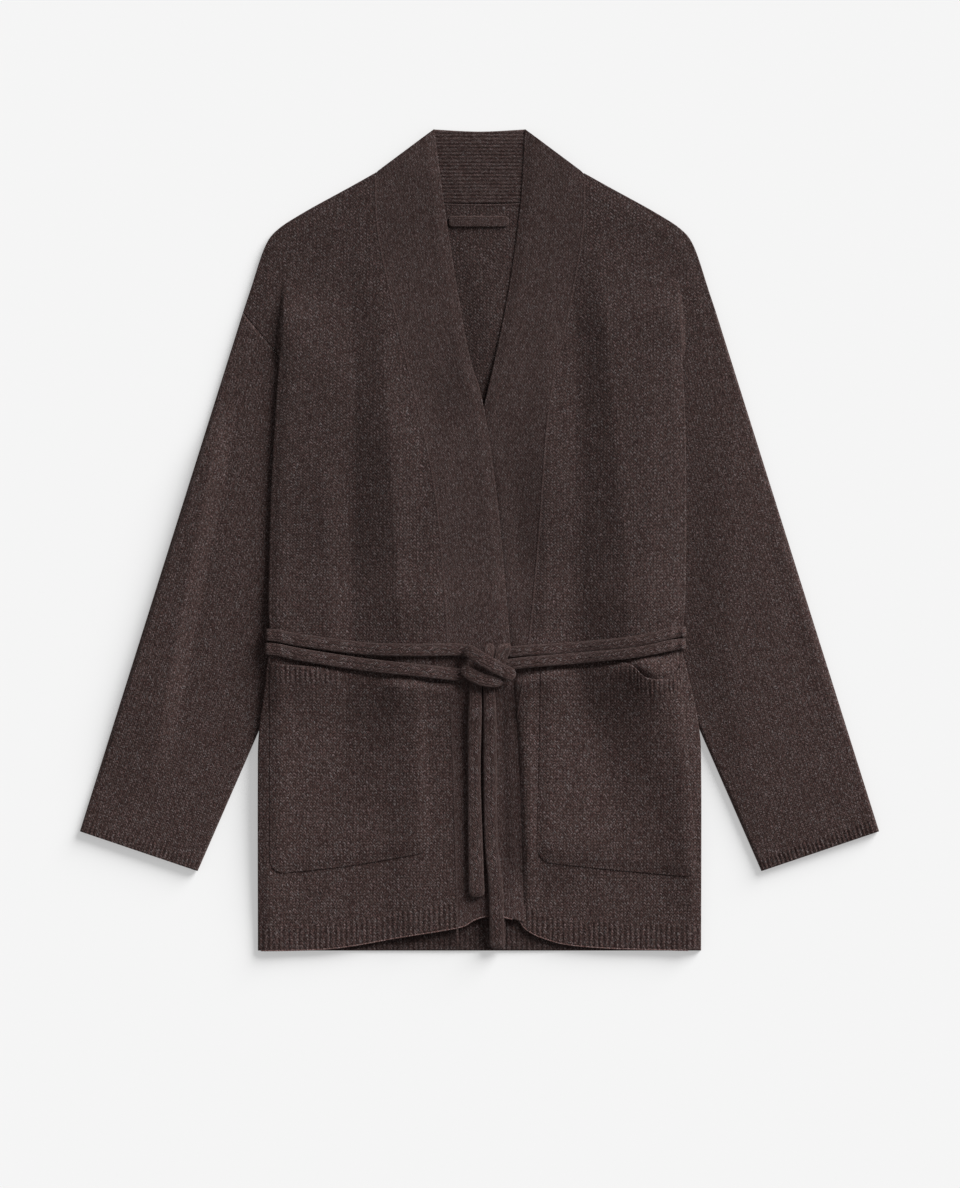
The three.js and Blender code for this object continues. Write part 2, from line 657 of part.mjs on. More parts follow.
function makeSleeve(side) {
  const rings = (inset) =>
    Array.from({ length: SLEEVE_RINGS + 1 }, (_, k) => sleeveRing(side, k / SLEEVE_RINGS, inset));
  const wall = tube(rings(0), rings(CLOTH), side > 0);
  const along = sleeve.capOuter.clone().lerp(sleeve.capInner, 0.5)
    .sub(sleeve.cuffOuter.clone().lerp(sleeve.cuffInner, 0.5)).setLength(CUFF_RIB.length);
  const [outer, inner] = [sleeve.cuffOuter, sleeve.cuffInner].map((p) => new THREE.Vector2(-side * p.x, p.y));
  const edge = SLEEVE_HEIGHT / 2 / outer.distanceTo(inner) + 0.01;
  const ends = side < 0 ? [outer, inner] : [inner, outer];
  const reach = point(-side * along.x, along.y);
  const inset = reach.clone().setLength(CUFF_RIB.inset);
  const start = (t) => ends[0].clone().lerp(ends[1], edge + (1 - 2 * edge) * t).add(inset);
  const count = ribCount(outer.distanceTo(inner), CUFF_RIB);
  return wall.add(ribs(start, count, reach, () => SLEEVE_HEIGHT));
}

// Belt
const runRows = (rows) => table(["x", "y", "width"], rows);
const beltRuns = {
  belt_right_upper: {
    side: -1,
    points: runRows([
      [-190, -88.5, 11.5], [-165, -93.5, 12], [-107, -101, 12], [-60, -102.5, 12], [-24, -102, 12],
      [-7, -104, 11.5],
    ]),
  },
  belt_right_lower: {
    side: -1,
    points: runRows([
      [-190, -101.5, 11.5], [-165, -107, 12], [-107, -116, 12], [-55, -121.5, 12],
      [-18, -125.5, 12], [-11, -125.5, 11.5],
    ]),
  },
  belt_left_upper: {
    side: 1,
    points: runRows([
      [183, -85.5, 10.5], [149, -93.5, 10], [112, -98, 9.8], [75, -101, 9.8], [40, -103.5, 9.8],
      [26, -104.5, 10],
    ]),
  },
  belt_left_lower: {
    side: 1,
    points: runRows([
      [182, -97, 10.5], [149, -104, 10], [112, -108.6, 9.8], [56, -114.2, 9.8], [36, -116, 9.8],
      [24, -117.5, 10],
    ]),
  },
};
const beltTails = {
  belt_tail_right: runRows([
    [-3.5, -124, 10], [-3.6, -136, 11.5], [-4.6, -170, 13], [-5.1, -219, 12.2], [-4, -281, 14],
    [-2.8, -326, 15],
  ]),
  belt_tail_left: runRows([
    [7.5, -124, 10], [8.8, -140, 11], [9.6, -170, 12.4], [9.8, -219, 12.6], [10.9, -281, 12.6],
    [15, -323, 13.8], [16.2, -374, 14.4],
  ]),
};
const BELT_SIDES = 8;
const BELT_STEP = 13;
const BELT_CLEAR = 0.45;

function beltSection(width, thickness, grow) {
  return Array.from({ length: BELT_SIDES }, (_, k) => {
    const angle = (2 * Math.PI * (k + 0.5)) / BELT_SIDES;
    const soft = (value, power) => Math.sign(value) * Math.abs(value) ** power;
    const [wide, high] = [soft(Math.cos(angle), 0.6), soft(Math.sin(angle), 0.8)];
    return [(width / 2 + grow) * wide, (thickness / 2 + grow) * high];
  });
}

// A closed run of knitted cord. Its width stays along the vector across.
function beltRun(points, across, grow = 0) {
  const rings = points.map((p, i) => {
    const a = points[Math.max(i - 1, 0)].at;
    const b = points[Math.min(i + 1, points.length - 1)].at;
    const along = b.clone().sub(a).normalize();
    const wide = across.clone().addScaledVector(along, -across.dot(along)).normalize();
    const up = along.clone().cross(wide);
    return beltSection(p.width, p.thickness, grow).map(([w, h]) =>
      p.at.clone().addScaledVector(wide, w).addScaledVector(up, h).toArray(),
    );
  });
  const triangles = [];
  const at = (k, i) => k * BELT_SIDES + (i % BELT_SIDES);
  for (let i = 0; i < BELT_SIDES; i++) {
    for (let k = 0; k + 1 < rings.length; k++) {
      triangles.push([at(k, i), at(k, i + 1), at(k + 1, i + 1)], [at(k, i), at(k + 1, i + 1), at(k + 1, i)]);
    }
  }
  for (let i = 1; i + 1 < BELT_SIDES; i++) {
    triangles.push([at(0, 0), at(0, i + 1), at(0, i)]);
    triangles.push([at(rings.length - 1, 0), at(rings.length - 1, i), at(rings.length - 1, i + 1)]);
  }
  const made = solidOf(rings.flat(), triangles);
  if (made.volume() > 0) return made;
  return solidOf(rings.flat(), triangles.map(([a, b, c]) => [a, c, b]));
}

const pocketOutline = ({ mouth, body }) => [...mouth, ...body];
const POCKET_RISE = POCKET_CLOTH + GAP + RIB_HEIGHT;

// The top of whatever shows at a point of the body
function topAt(x, y) {
  const grid = x < xAt(frontEdgeRight, y) + 3 ? upper : lower;
  const onPocket = [pocketRight, pocketLeft].some((p) => {
    const outline = pocketOutline(p);
    return inside(outline, x, y) || distanceTo([...outline, outline[0]], x, y) < 3;
  });
  return heightAt(grid, x, y) + CLOTH + (onPocket ? POCKET_RISE + mouthGape(x, y) : 0);
}

// Follows a run's table over the cloth. The cord rests on the crests and spans the hollows.
function runOver(rows, thickness, across) {
  const curve = new THREE.CatmullRomCurve3(rows.map((r) => new THREE.Vector3(r.x, r.y, r.width)));
  const steps = Math.ceil(curve.getLength() / BELT_STEP);
  const flat = curve.getSpacedPoints(steps);
  const tops = flat.map((p) => {
    const shares = [-0.5, -0.25, 0, 0.25, 0.5];
    return Math.max(...shares.map((s) => topAt(p.x + across.x * s * p.z, p.y + across.y * s * p.z)));
  });
  const highest = tops.map((_, i) => Math.max(...tops.slice(Math.max(i - 1, 0), i + 2)));
  const eased = highest.map((z, i) => {
    const near = highest.slice(Math.max(i - 1, 0), i + 2);
    return Math.max(z, near.reduce((a, b) => a + b, 0) / near.length);
  });
  return flat.map((p, i) => ({
    at: new THREE.Vector3(p.x, p.y, eased[i] + BELT_CLEAR + thickness / 2),
    width: p.z,
    thickness,
  }));
}

const ALONG_Y = new THREE.Vector3(0, 1, 0);
const ALONG_X = new THREE.Vector3(1, 0, 0);

// Round the side of the body and under its back, where the back stretch goes on
function beltTurn(side, y, width) {
  const edge = xAt(side < 0 ? sideRight : sideLeft, y);
  const under = heightAt(back, edge, y);
  const over = under + 2 * CLOTH + GAP;
  const half = BELT.turnThickness / 2;
  const path = table(["out", "z"], [
    [-8, under - GAP - half], [-2, under - GAP - half], [1.5, under - GAP - half + 0.3],
    [2.1, under + 1.6], [2.1, over - 1], [1.8, over + half + 0.6], [-2, over + half + 1.3],
  ]);
  return path.map((r) => ({
    at: new THREE.Vector3(edge + side * r.out, y, r.z),
    width,
    thickness: BELT.turnThickness,
  }));
}

const knotSpots = evenly(-18, 34, 7, 6).flatMap((x) => evenly(-97, -133, 5, 4).map((y) => topAt(x, y)));
const knotRest = Math.max(...knotSpots) + BELT_CLEAR;
// The knot's bands: x, y, height over the cloth and width of each section
const knotArcs = [
  {
    across: ALONG_Y,
    rows: [
      [-14, -101.5, 1.8, 11], [-7, -105.5, 5.4, 12.4], [5, -112.5, 7.4, 13], [17, -119, 6.8, 13],
      [27, -124, 4, 12], [33, -126, 0.8, 10],
    ],
  },
  {
    across: ALONG_Y,
    rows: [
      [-15, -118, 1, 10], [-5, -126.8, 4.4, 12], [5, -130.6, 4.6, 12], [14, -131.4, 4, 11.5],
      [22, -128, 0.8, 9],
    ],
  },
  {
    across: ALONG_X,
    rows: [[8, -113, 5.2, 10], [8.5, -107.5, 5.2, 10], [9, -102, 4, 9.6], [10, -97, 0.6, 8]],
  },
  {
    across: ALONG_X,
    rows: [[19, -118, 5.2, 11], [19.5, -110, 6, 12.4], [22, -103, 5.2, 13], [26.5, -97, 0.8, 10]],
  },
].map((arc) => ({ ...arc, rows: table(["x", "y", "z", "width"], arc.rows) }));
const knotCore = { x: 9, y: -115, radiusX: 19, radiusY: 13, radiusZ: 4 };

const KNOT_STEPS = 6;

function makeKnot(grow = 0) {
  const arcs = knotArcs.map(({ across, rows }) => {
    const curve = new THREE.CatmullRomCurve3(rows.map((r) => new THREE.Vector3(r.x, r.y, knotRest + r.z)));
    const points = curve.getSpacedPoints(KNOT_STEPS).map((at, i) => ({
      at,
      width: rows[Math.round((i / KNOT_STEPS) * (rows.length - 1))].width,
      thickness: KNOT_BAND,
    }));
    return beltRun(points, across, grow);
  });
  const core = new THREE.SphereGeometry(1, 12, 8);
  core.scale(knotCore.radiusX + grow, knotCore.radiusY + grow, knotCore.radiusZ + grow);
  core.translate(knotCore.x, knotCore.y, knotRest + knotCore.radiusZ);
  return arcs.reduce((sum, arc) => sum.add(arc), solidOfGeometry(core));
}

// The largest piece of a solid, where a cut has left crumbs
const largest = (solid) => solid.decompose().sort((a, b) => b.volume() - a.volume())[0];

function makeBeltRun({ side, points }, knotRoom) {
  const [first] = points;
  const turn = beltTurn(side, first.y, first.width);
  const over = runOver(points, BELT.thickness, ALONG_Y);
  return largest(beltRun([...turn, ...over.slice(1)], ALONG_Y).subtract(knotRoom));
}

function makeBeltTail(rows, knotRoom) {
  const over = runOver(rows, BELT.tailThickness, ALONG_X);
  const end = over[over.length - 1];
  const tip = [0.8, 0.45].map((share, i) => ({
    at: end.at.clone().add(new THREE.Vector3(0, -3.5 * (i + 1), 0)),
    width: end.width * share,
    thickness: end.thickness * (0.5 + share / 2),
  }));
  return largest(beltRun([...over, ...tip], ALONG_X).subtract(knotRoom));
}

function makeBeltBack({ rightY, leftY }) {
  const half = BELT.backWidth / 2;
  const ends = [
    new THREE.Vector2(xAt(sideRight, rightY) + 8 + GAP, rightY),
    new THREE.Vector2(xAt(sideLeft, leftY) - 8 - GAP, leftY),
  ];
  const outline = between(
    ends.map((p) => new THREE.Vector2(p.x, p.y - half)),
    ends.map((p) => new THREE.Vector2(p.x, p.y + half)),
  );
  return layer(floor, raised(floor, BELT.turnThickness)).intersect(prism(outline));
}

// Scene graph
const knit = new THREE.Color(0x40332f);
function mesh(name, solid, shade = 1) {
  const made = solid.getMesh();
  const geometry = new THREE.BufferGeometry();
  geometry.setAttribute("position", new THREE.BufferAttribute(made.vertProperties, 3));
  geometry.setIndex(new THREE.BufferAttribute(made.triVerts, 1));
  geometry.computeVertexNormals();
  const material = new THREE.MeshStandardMaterial({
    color: knit.clone().multiplyScalar(shade),
    roughness: 0.95,
    metalness: 0,
  });
  const piece = new THREE.Mesh(geometry, material);
  piece.name = name;
  return piece;
}

const cardigan = new THREE.Group();
cardigan.add(
  mesh("back", makeBack(), 0.9),
  mesh("front_right", makeFrontRight()),
  mesh("front_left", makeFrontLeft()),
  mesh("neckband", makeNeckband(), 0.95),
  mesh("sleeve_right", makeSleeve(-1)),
  mesh("sleeve_left", makeSleeve(1)),
  mesh("pocket_right", makePocket(pocketRight, upper)),
  mesh("pocket_left", makePocket(pocketLeft, lower)),
  mesh("hanger_loop", makeHangerLoop()),
);

const knotRoom = makeKnot(GAP);
cardigan.add(mesh("belt_knot", makeKnot()));
for (const [name, run] of Object.entries(beltRuns)) cardigan.add(mesh(name, makeBeltRun(run, knotRoom)));
for (const [name, rows] of Object.entries(beltTails)) cardigan.add(mesh(name, makeBeltTail(rows, knotRoom)));
for (const stretch of beltBack) cardigan.add(mesh(stretch.name, makeBeltBack(stretch)));

export default cardigan;
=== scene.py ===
"""The looks of a knitted wrap cardigan, laid flat with its belt tied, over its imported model.

Sizes are in millimetres until a mesh is made. +X runs across the garment, +Y to its collar and
+Z up from the surface it lies on. Right and left are the wearer's, so the right side is at -X.
"""
import math

import bpy
import numpy as np
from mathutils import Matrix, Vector


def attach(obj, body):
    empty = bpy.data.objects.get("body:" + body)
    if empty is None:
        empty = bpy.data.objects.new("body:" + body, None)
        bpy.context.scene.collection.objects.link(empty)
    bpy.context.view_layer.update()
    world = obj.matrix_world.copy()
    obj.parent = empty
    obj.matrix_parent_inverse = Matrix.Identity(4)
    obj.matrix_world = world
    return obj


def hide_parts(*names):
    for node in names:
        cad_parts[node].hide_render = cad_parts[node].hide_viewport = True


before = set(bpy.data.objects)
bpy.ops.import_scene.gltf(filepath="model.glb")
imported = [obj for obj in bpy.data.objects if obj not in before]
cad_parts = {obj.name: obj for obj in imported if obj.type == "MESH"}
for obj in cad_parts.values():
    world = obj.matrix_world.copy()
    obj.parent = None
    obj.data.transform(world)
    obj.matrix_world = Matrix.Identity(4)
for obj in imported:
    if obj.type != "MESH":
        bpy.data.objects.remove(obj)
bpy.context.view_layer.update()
scene = bpy.context.scene

MM = 0.001
CLOTH = 2.4  # thickness of the knit
GAP = 0.3  # between pieces that are sewn or lie on each other
AIR = 1.5  # air between the two layers of the body or of a sleeve
SLEEVE_HEIGHT = 2 * CLOTH + AIR
HEM_Y = -382
HEM_RIB = 25
RIB_PITCH = 4.8
BODY, TRIM = "knit", "ribbed_band"

# Where the cloth has come down again beside what lies under it
SLEEVE_DRAPE = dict(hold=14, fall=80)
BELT_DRAPE = dict(hold=8, fall=55)
LAP_DRAPE = dict(hold=20, fall=30)

# Past the side folds the body's layers come down in this distance
BODY_EDGE = dict(beyond=3, ease=2)
CAP_TOP = (250, 45)  # the sleeves end here under the shoulders: a height, and a distance below it

ROW_STEP = 2.6  # of the fronts' and the band's meshes
BACK_ROW_STEP = 3.6
UV_SCALE = 0.01  # of the knit UV map in a millimetre


def smooth(t):
    c = np.clip(t, 0, 1)
    return c * c * (3 - 2 * c)


def ramp(distance, hold, fall):
    """1 up to the distance hold, and 0 from hold + fall."""
    return 1 - smooth((distance - hold) / fall)


def lower_than(start, y):
    """0 above a height, and 1 from a distance below it. start is (height, distance)."""
    return smooth((start[0] - y) / start[1])


def lerp(a, b, t):
    return a + (b - a) * t


def lengths_along(points):
    return np.r_[0, np.cumsum(np.linalg.norm(np.diff(points, axis=0), axis=1))]


def spline(rows, step=3.0):
    """A smooth line through the rows of a table, sampled evenly."""
    points = np.array(rows, float)
    n = len(points) - 1
    t = np.linspace(0, n, n * 24 + 1)
    k = np.minimum(t.astype(int), n - 1)
    w = (t - k)[:, None]
    p = [points[np.clip(k + d, 0, n)] for d in (-1, 0, 1, 2)]
    v0, v1 = (p[2] - p[0]) / 2, (p[3] - p[1]) / 2
    curve = (
        (2 * p[1] - 2 * p[2] + v0 + v1) * w**3
        + (-3 * p[1] + 3 * p[2] - 2 * v0 - v1) * w**2
        + v0 * w
        + p[1]
    )
    lengths = lengths_along(curve[:, :2])
    even = np.linspace(0, lengths[-1], max(int(math.ceil(lengths[-1] / step)), 2) + 1)
    return np.column_stack([np.interp(even, lengths, curve[:, i]) for i in range(curve.shape[1])])


def x_at(line, y):
    """The x of a line that runs down the garment."""
    return np.interp(y, line[::-1, 1], line[::-1, 0])


def y_at(line, x):
    """The y of a line that runs across the garment from the right."""
    return np.interp(x, line[:, 0], line[:, 1])


def xy(spots):
    return spots[..., 0], spots[..., 1]


def mirrored(line):
    return line * np.array([-1.0, 1.0])


def distance_to(line, x, y):
    best = np.full(np.shape(x), 1e9)
    for a, b in zip(line[:-1], line[1:]):
        dx, dy = b - a
        t = np.clip(((x - a[0]) * dx + (y - a[1]) * dy) / max(dx * dx + dy * dy, 1e-9), 0, 1)
        best = np.minimum(best, np.hypot(x - a[0] - dx * t, y - a[1] - dy * t))
    return best


def inside(polygon, x, y):
    odd = np.zeros(np.shape(x), bool)
    for a, b in zip(polygon, np.roll(polygon, -1, axis=0)):
        if a[1] != b[1]:
            crosses = (a[1] > y) != (b[1] > y)
            odd ^= crosses & (x < a[0] + (b[0] - a[0]) * (y - a[1]) / (b[1] - a[1]))
    return odd


# Seams and edges of the body, as in the part's source. Each row is a point.
SHOULDER_RIGHT = spline(
    [(-97, 341), (-122, 327), (-162, 305), (-188, 288), (-200, 271), (-213, 232), (-220, 211)]
)
SIDE_RIGHT = spline([
    (-186, 170), (-190, 111), (-194, 37), (-196, -56), (-195, -90), (-199, -135), (-205, -180),
    (-206, -230), (-206, HEM_Y), (-206, -400),
])
CREASE_RIGHT = spline([(-180, 241), (-181, 223), (-184, 191), (-186, 170)])
SHOULDER_LEFT = mirrored(SHOULDER_RIGHT)
SIDE_LEFT = spline([
    (188, 170), (191, 111), (192, 18), (191, -56), (188, -98), (195, -130), (204, -175),
    (206, -220), (206, HEM_Y), (206, -400),
])
CREASE_LEFT = spline([(182, 241), (185, 219), (187, 191), (188, 170)])
BAND_SEAM_RIGHT = spline([
    (-97, 341), (-95, 290), (-83, 228), (-62, 140), (-44, 60), (-35, -19), (-29, -110),
    (-24, -230), (-21, -349), (-20, -400),
])
FRONT_EDGE_RIGHT = spline([
    (-42, 382), (-36, 335), (-25, 260), (-10, 174), (3, 128), (17, 33), (28, -91), (35, -174),
    (39, -261), (41, -343), (41, -400),
])
BAND_SEAM_LEFT = spline([
    (97, 341), (96, 290), (85, 223), (65, 126), (55, 2), (46, -93), (35, -170), (30, -242),
    (24, -342), (23, -400),
])
FRONT_EDGE_LEFT = spline([
    (42, 382), (38, 314), (28, 239), (14, 167), (4, 124), (-9, 65), (-20, -19), (-34, -174),
    (-40, -261), (-42, -400),
])
HEM_RIGHT = spline([
    (-215, HEM_Y), (-139, -380), (-74, -369.5), (-18, -360), (-4, -353), (10, -349.5),
    (23, -351), (42, -355.5),
])
HEM_LEFT = spline([
    (-50, -339), (0, -343.5), (24, -346), (36, -352), (42, -361), (50, -366.5), (71, -374),
    (92, -377.5), (131, -380), (215, HEM_Y),
])
NECK_SEAM = spline([(-97, 341), (-60, 316), (0, 311), (60, 316), (97, 341)])
COLLAR_TOP = spline([(42, 382), (0, 380), (-42, 382)])
COLLAR_CORNER, NECK_CORNER = (42, 382), (97, 341)
NECK_LOW = 311
SHOULDER_TOP = 340.6  # of the fronts and the back

CAP_OUTER, CAP_INNER = np.array([-220.0, 211.0]), np.array([-99.0, 65.0])
CUFF_OUTER, CUFF_INNER = np.array([-371.5, -271.0]), np.array([-262.0, -308.0])
SLEEVE_RIGHT = np.array([CAP_OUTER, CUFF_OUTER, CUFF_INNER, CAP_INNER])
SLEEVE_LEFT = mirrored(SLEEVE_RIGHT)

FOLD_RIGHT = np.vstack([CREASE_RIGHT, SIDE_RIGHT[1:]])
FOLD_LEFT = np.vstack([CREASE_LEFT, SIDE_LEFT[1:]])
OUTER_RIGHT = np.vstack([SHOULDER_RIGHT, SIDE_RIGHT])
OUTER_LEFT = np.vstack([SHOULDER_LEFT, SIDE_LEFT])

BELT_BACK_Y, BELT_BACK_HALF, BELT_TURN = -93, 15, 3

# Folds of the fronts: a crest's ends, its heights and the widths of its flanks to -X and +X
# there, how far it fades out past its ends, and how its crest turns to +X below its bottom end
FOLDS = [
    dict(top=(-86, 150), bottom=(-71, -90), heights=(8, 13), flanks=((26, 130), (44, 95)),
         fade=(140, 190), turn=-0.08),
    dict(top=(-143, 40), bottom=(-139, -85), heights=(2.4, 2.4), flanks=((28, 17), (28, 17)),
         fade=(60, 40)),
    dict(top=(62, 110), bottom=(58, -90), heights=(6.5, 8), flanks=((120, 32), (76, 34)),
         fade=(170, 60)),
    dict(top=(119, 190), bottom=(143, -90), heights=(7, 9.2), flanks=((25, 110), (54, 150)),
         fade=(110, 165), turn=0.17),
    dict(top=(47, -130), bottom=(48, -275), heights=(8.5, 8.5), flanks=((22, 46), (22, 82)),
         fade=(60, 60)),
    dict(top=(-37, 335), bottom=(-6, 160), heights=(2.5, 2.5), flanks=((60, 20), (60, 20)),
         fade=(40, 50)),
]
CREST_RADIUS = 3.5
FLANK_CURVE = 1.08
# The left front stands up close beside the right front's edge: its height above and below the belt
CREVICE = dict(heights=(0.8, 2.4), lead=0.5, rise=2.5, hold=3, fall=14)
CREVICE_TOP, CREVICE_BELT, CREVICE_BOTTOM = (110, 60), (-100, 30), (-322, 30)
# The belt presses the folds down by this share. Beside it they rise again, and the cloth bulges below
BELT_TOP = spline([
    (-205, -81), (-165, -86), (-107, -94), (-60, -95.5), (-7, -97), (40, -97.5), (112, -92),
    (149, -87.5), (205, -79),
])
BELT_LOW = spline([
    (-205, -107), (-165, -114), (-107, -123), (-55, -128.5), (-11, -132), (30, -128), (56, -121),
    (112, -115), (149, -110), (205, -101),
])
BELT_PRESS = dict(share=0.3, above=50, below=11)  # above and below: where the press ends
BELT_BULGE = dict(height=2.6, rise=5, hold=8, fall=60)
LEVEL_SPOTS = [dict(x=-176, spread=10), dict(x=-98, spread=20)]  # where less cloth bulges
LEVEL_SHARE = 0.45
# The left front stands out between the belt and its pocket's mouth
MOUTH_LEFT = spline([
    (57, -112), (103, -110), (138, -115), (152, -126.5), (163, -129.5), (175, -128), (184, -121),
    (187, -114),
])
MOUTH_ROLL = dict(height=3.2, x=164, spread=24, rise=6, under_belt=4, fall=8)
# The fronts stand up just inside the side folds
SIDE_ROLL = dict(height=1.2, rise=9, fall=34, top=(235, 50))
# The distances from the edges in which the folds, and the air under the fronts, reach their height
EASE = dict(shoulder=50, side=38, air=14)


def bump(place, x):
    """1 at the place's x, and less beside it."""
    return np.exp(-(((x - place["x"]) / place["spread"]) ** 2))


def crevice_height(x, y):
    beyond = x - x_at(FRONT_EDGE_RIGHT, y)
    height = lerp(*CREVICE["heights"], lower_than(CREVICE_BELT, y))
    height = height * smooth((beyond + CREVICE["lead"]) / CREVICE["rise"])
    height = height * ramp(np.abs(beyond), CREVICE["hold"], CREVICE["fall"])
    return height * lower_than(CREVICE_TOP, y) * (1 - lower_than(CREVICE_BOTTOM, y))


def mouth_roll(x, y):
    out = smooth((y - y_at(MOUTH_LEFT, x)) / MOUTH_ROLL["rise"])
    to_belt = y_at(BELT_LOW, x) + MOUTH_ROLL["under_belt"] - y
    return MOUTH_ROLL["height"] * bump(MOUTH_ROLL, x) * out * smooth(to_belt / MOUTH_ROLL["fall"])


def fold_height(x, y):
    total = np.zeros(np.shape(x))
    for fold in FOLDS:
        (top_x, top_y), (bottom_x, bottom_y) = fold["top"], fold["bottom"]
        down = (top_y - y) / (top_y - bottom_y)
        past = np.maximum(bottom_y - y, 0)
        crest = lerp(top_x, bottom_x, np.minimum(down, 1)) + fold.get("turn", 0) * past
        fade_in, fade_out = fold["fade"]
        fade = smooth((top_y - y) / fade_in + 1) * smooth((y - bottom_y) / fade_out + 1)
        off = np.sqrt((x - crest) ** 2 + CREST_RADIUS**2) - CREST_RADIUS
        share = np.clip(down, 0, 1)
        flank = [lerp(a, b, share) for a, b in zip(*fold["flanks"])]
        flank = np.where(x < crest, flank[0], flank[1])
        height = lerp(*fold["heights"], share)
        total += height * fade * np.clip(1 - off / flank, 0, 1) ** FLANK_CURVE
    above = np.maximum(y - y_at(BELT_TOP, x), 0)
    below = np.maximum(y_at(BELT_LOW, x) - y, 0)
    let_go = smooth(above / BELT_PRESS["above"]) + smooth(below / BELT_PRESS["below"])
    pressed = BELT_PRESS["share"] * (1 - let_go)
    bulge = BELT_BULGE["height"] * smooth(below / BELT_BULGE["rise"])
    bulge = bulge * ramp(below, BELT_BULGE["hold"], BELT_BULGE["fall"])
    for spot in LEVEL_SPOTS:
        bulge = bulge * (1 - LEVEL_SHARE * bump(spot, x))
    return total * (1 - pressed) + bulge + mouth_roll(x, y) + crevice_height(x, y)


# The back stands up inside the open neck, as high as the fronts let it. right and left are the
# distances in which it rises from them, which start earlier where the neck is narrower than tip
NECK_RISE = dict(height=4.0, right=34, left=16, steeper=1.4, tip=44, foot=(100, 40))


# Heights of the layers
def on_body(x, y):
    """1 on the body between its side folds, and 0 on the shoulder caps outside them."""
    right = x - x_at(FOLD_RIGHT, y) + BODY_EDGE["beyond"]
    left = x_at(FOLD_LEFT, y) + BODY_EDGE["beyond"] - x
    return smooth(right / BODY_EDGE["ease"]) * smooth(left / BODY_EDGE["ease"])


def sleeve_lift(x, y):
    reach = np.full(np.shape(x), 1e9)
    for corners in (SLEEVE_RIGHT, SLEEVE_LEFT):
        edge = distance_to(np.vstack([corners, corners[:1]]), x, y)
        reach = np.minimum(reach, np.where(inside(corners, x, y), 0, edge))
    lift = (SLEEVE_HEIGHT + GAP) * ramp(reach, **SLEEVE_DRAPE)
    return lift * lower_than(CAP_TOP, y) * on_body(x, y)


def back_bottom(x, y):
    to_belt = np.abs(y - BELT_BACK_Y) - BELT_BACK_HALF
    over_belt = (BELT_TURN + GAP) * ramp(to_belt, **BELT_DRAPE)
    return sleeve_lift(x, y) + over_belt * on_body(x, y)


def back_rise(x, y):
    """How far the back stands up inside the open neck and just under the left front's edge."""
    right, left = x_at(FRONT_EDGE_RIGHT, y), x_at(FRONT_EDGE_LEFT, y)
    start = NECK_RISE["right"] * (1 - smooth((left - right) / NECK_RISE["tip"]))
    from_right = (x - right + start) / NECK_RISE["right"]
    from_left = ((left - x) / NECK_RISE["left"] + 1) * NECK_RISE["steeper"]
    room = np.minimum(under_front(x, y) - back_bottom(x, y) - CLOTH - GAP, NECK_RISE["height"])
    return room * smooth(from_right) * smooth(from_left) * (1 - lower_than(NECK_RISE["foot"], y))


def back_top(x, y):
    return back_bottom(x, y) + back_rise(x, y) + CLOTH


def under_front(x, y):
    to_shoulder, to_side = (
        np.min([distance_to(line[::2], x, y) for line in edges], axis=0)
        for edges in ((SHOULDER_RIGHT, SHOULDER_LEFT, COLLAR_TOP), (SIDE_RIGHT, SIDE_LEFT))
    )
    eased = smooth(to_shoulder / EASE["shoulder"]) * smooth(to_side / EASE["side"])
    air = (AIR - GAP) * smooth(np.minimum(to_shoulder, to_side) / EASE["air"])
    inward = np.minimum(x - x_at(FOLD_RIGHT, y), x_at(FOLD_LEFT, y) - x)
    roll = smooth(inward / SIDE_ROLL["rise"]) * ramp(inward, SIDE_ROLL["rise"], SIDE_ROLL["fall"])
    roll = SIDE_ROLL["height"] * roll * lower_than(SIDE_ROLL["top"], y)
    return back_bottom(x, y) + CLOTH + GAP + air + fold_height(x, y) * eased + roll


def under_lapped(x, y):
    lap = ramp(x_at(FRONT_EDGE_LEFT, y) - x, **LAP_DRAPE)
    return under_front(x, y) + (CLOTH + GAP) * lap


# Meshes
def put(name, data):
    """A new object in the scene."""
    made = bpy.data.objects.new(name, data)
    scene.collection.objects.link(made)
    return made


def new_piece(name, vertices, faces, uvs, slot, replaces):
    mesh = bpy.data.meshes.new(name)
    mesh.from_pydata((np.asarray(vertices) * MM).tolist(), [], faces)
    mesh.polygons.foreach_set("use_smooth", [True] * len(mesh.polygons))
    layer = mesh.uv_layers.new(name="knit")
    corners = np.empty(len(mesh.loops), int)
    mesh.loops.foreach_get("vertex_index", corners)
    layer.data.foreach_set("uv", (np.asarray(uvs)[corners] * UV_SCALE).ravel())
    mesh.validate()
    piece = put(name, mesh)
    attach(piece, "root")
    if replaces:
        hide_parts(replaces)
    return piece


def joined(parts):
    """(vertices, faces, uvs) of several meshes as one."""
    vertices, faces, uvs, start = [], [], [], 0
    for points, polygons, uv in parts:
        vertices.append(points)
        uvs.append(uv)
        faces += [[i + start for i in polygon] for polygon in polygons]
        start += len(points)
    return np.vstack(vertices), faces, np.vstack(uvs)


def along(points, axis):
    """Distances along a grid's rows or columns from their first point."""
    steps = np.linalg.norm(np.diff(points, axis=axis), axis=2)
    total = np.cumsum(steps, axis=axis)
    pad = [(1, 0), (0, 0)] if axis == 0 else [(0, 0), (1, 0)]
    return np.pad(total, pad)


RIM = np.array([0, 0.25, 0.7, 1.3, 2.2])  # where a mesh's outer rows and columns lie
RIM_SPAN = 2.4  # on a narrower piece than this many rims' widths, the offsets shrink
BUTTED_SHARPER = 3.0
SEWN = dict(share=0.3, reach=12)  # the cloth's thickness at a sewn edge, and how far it grows


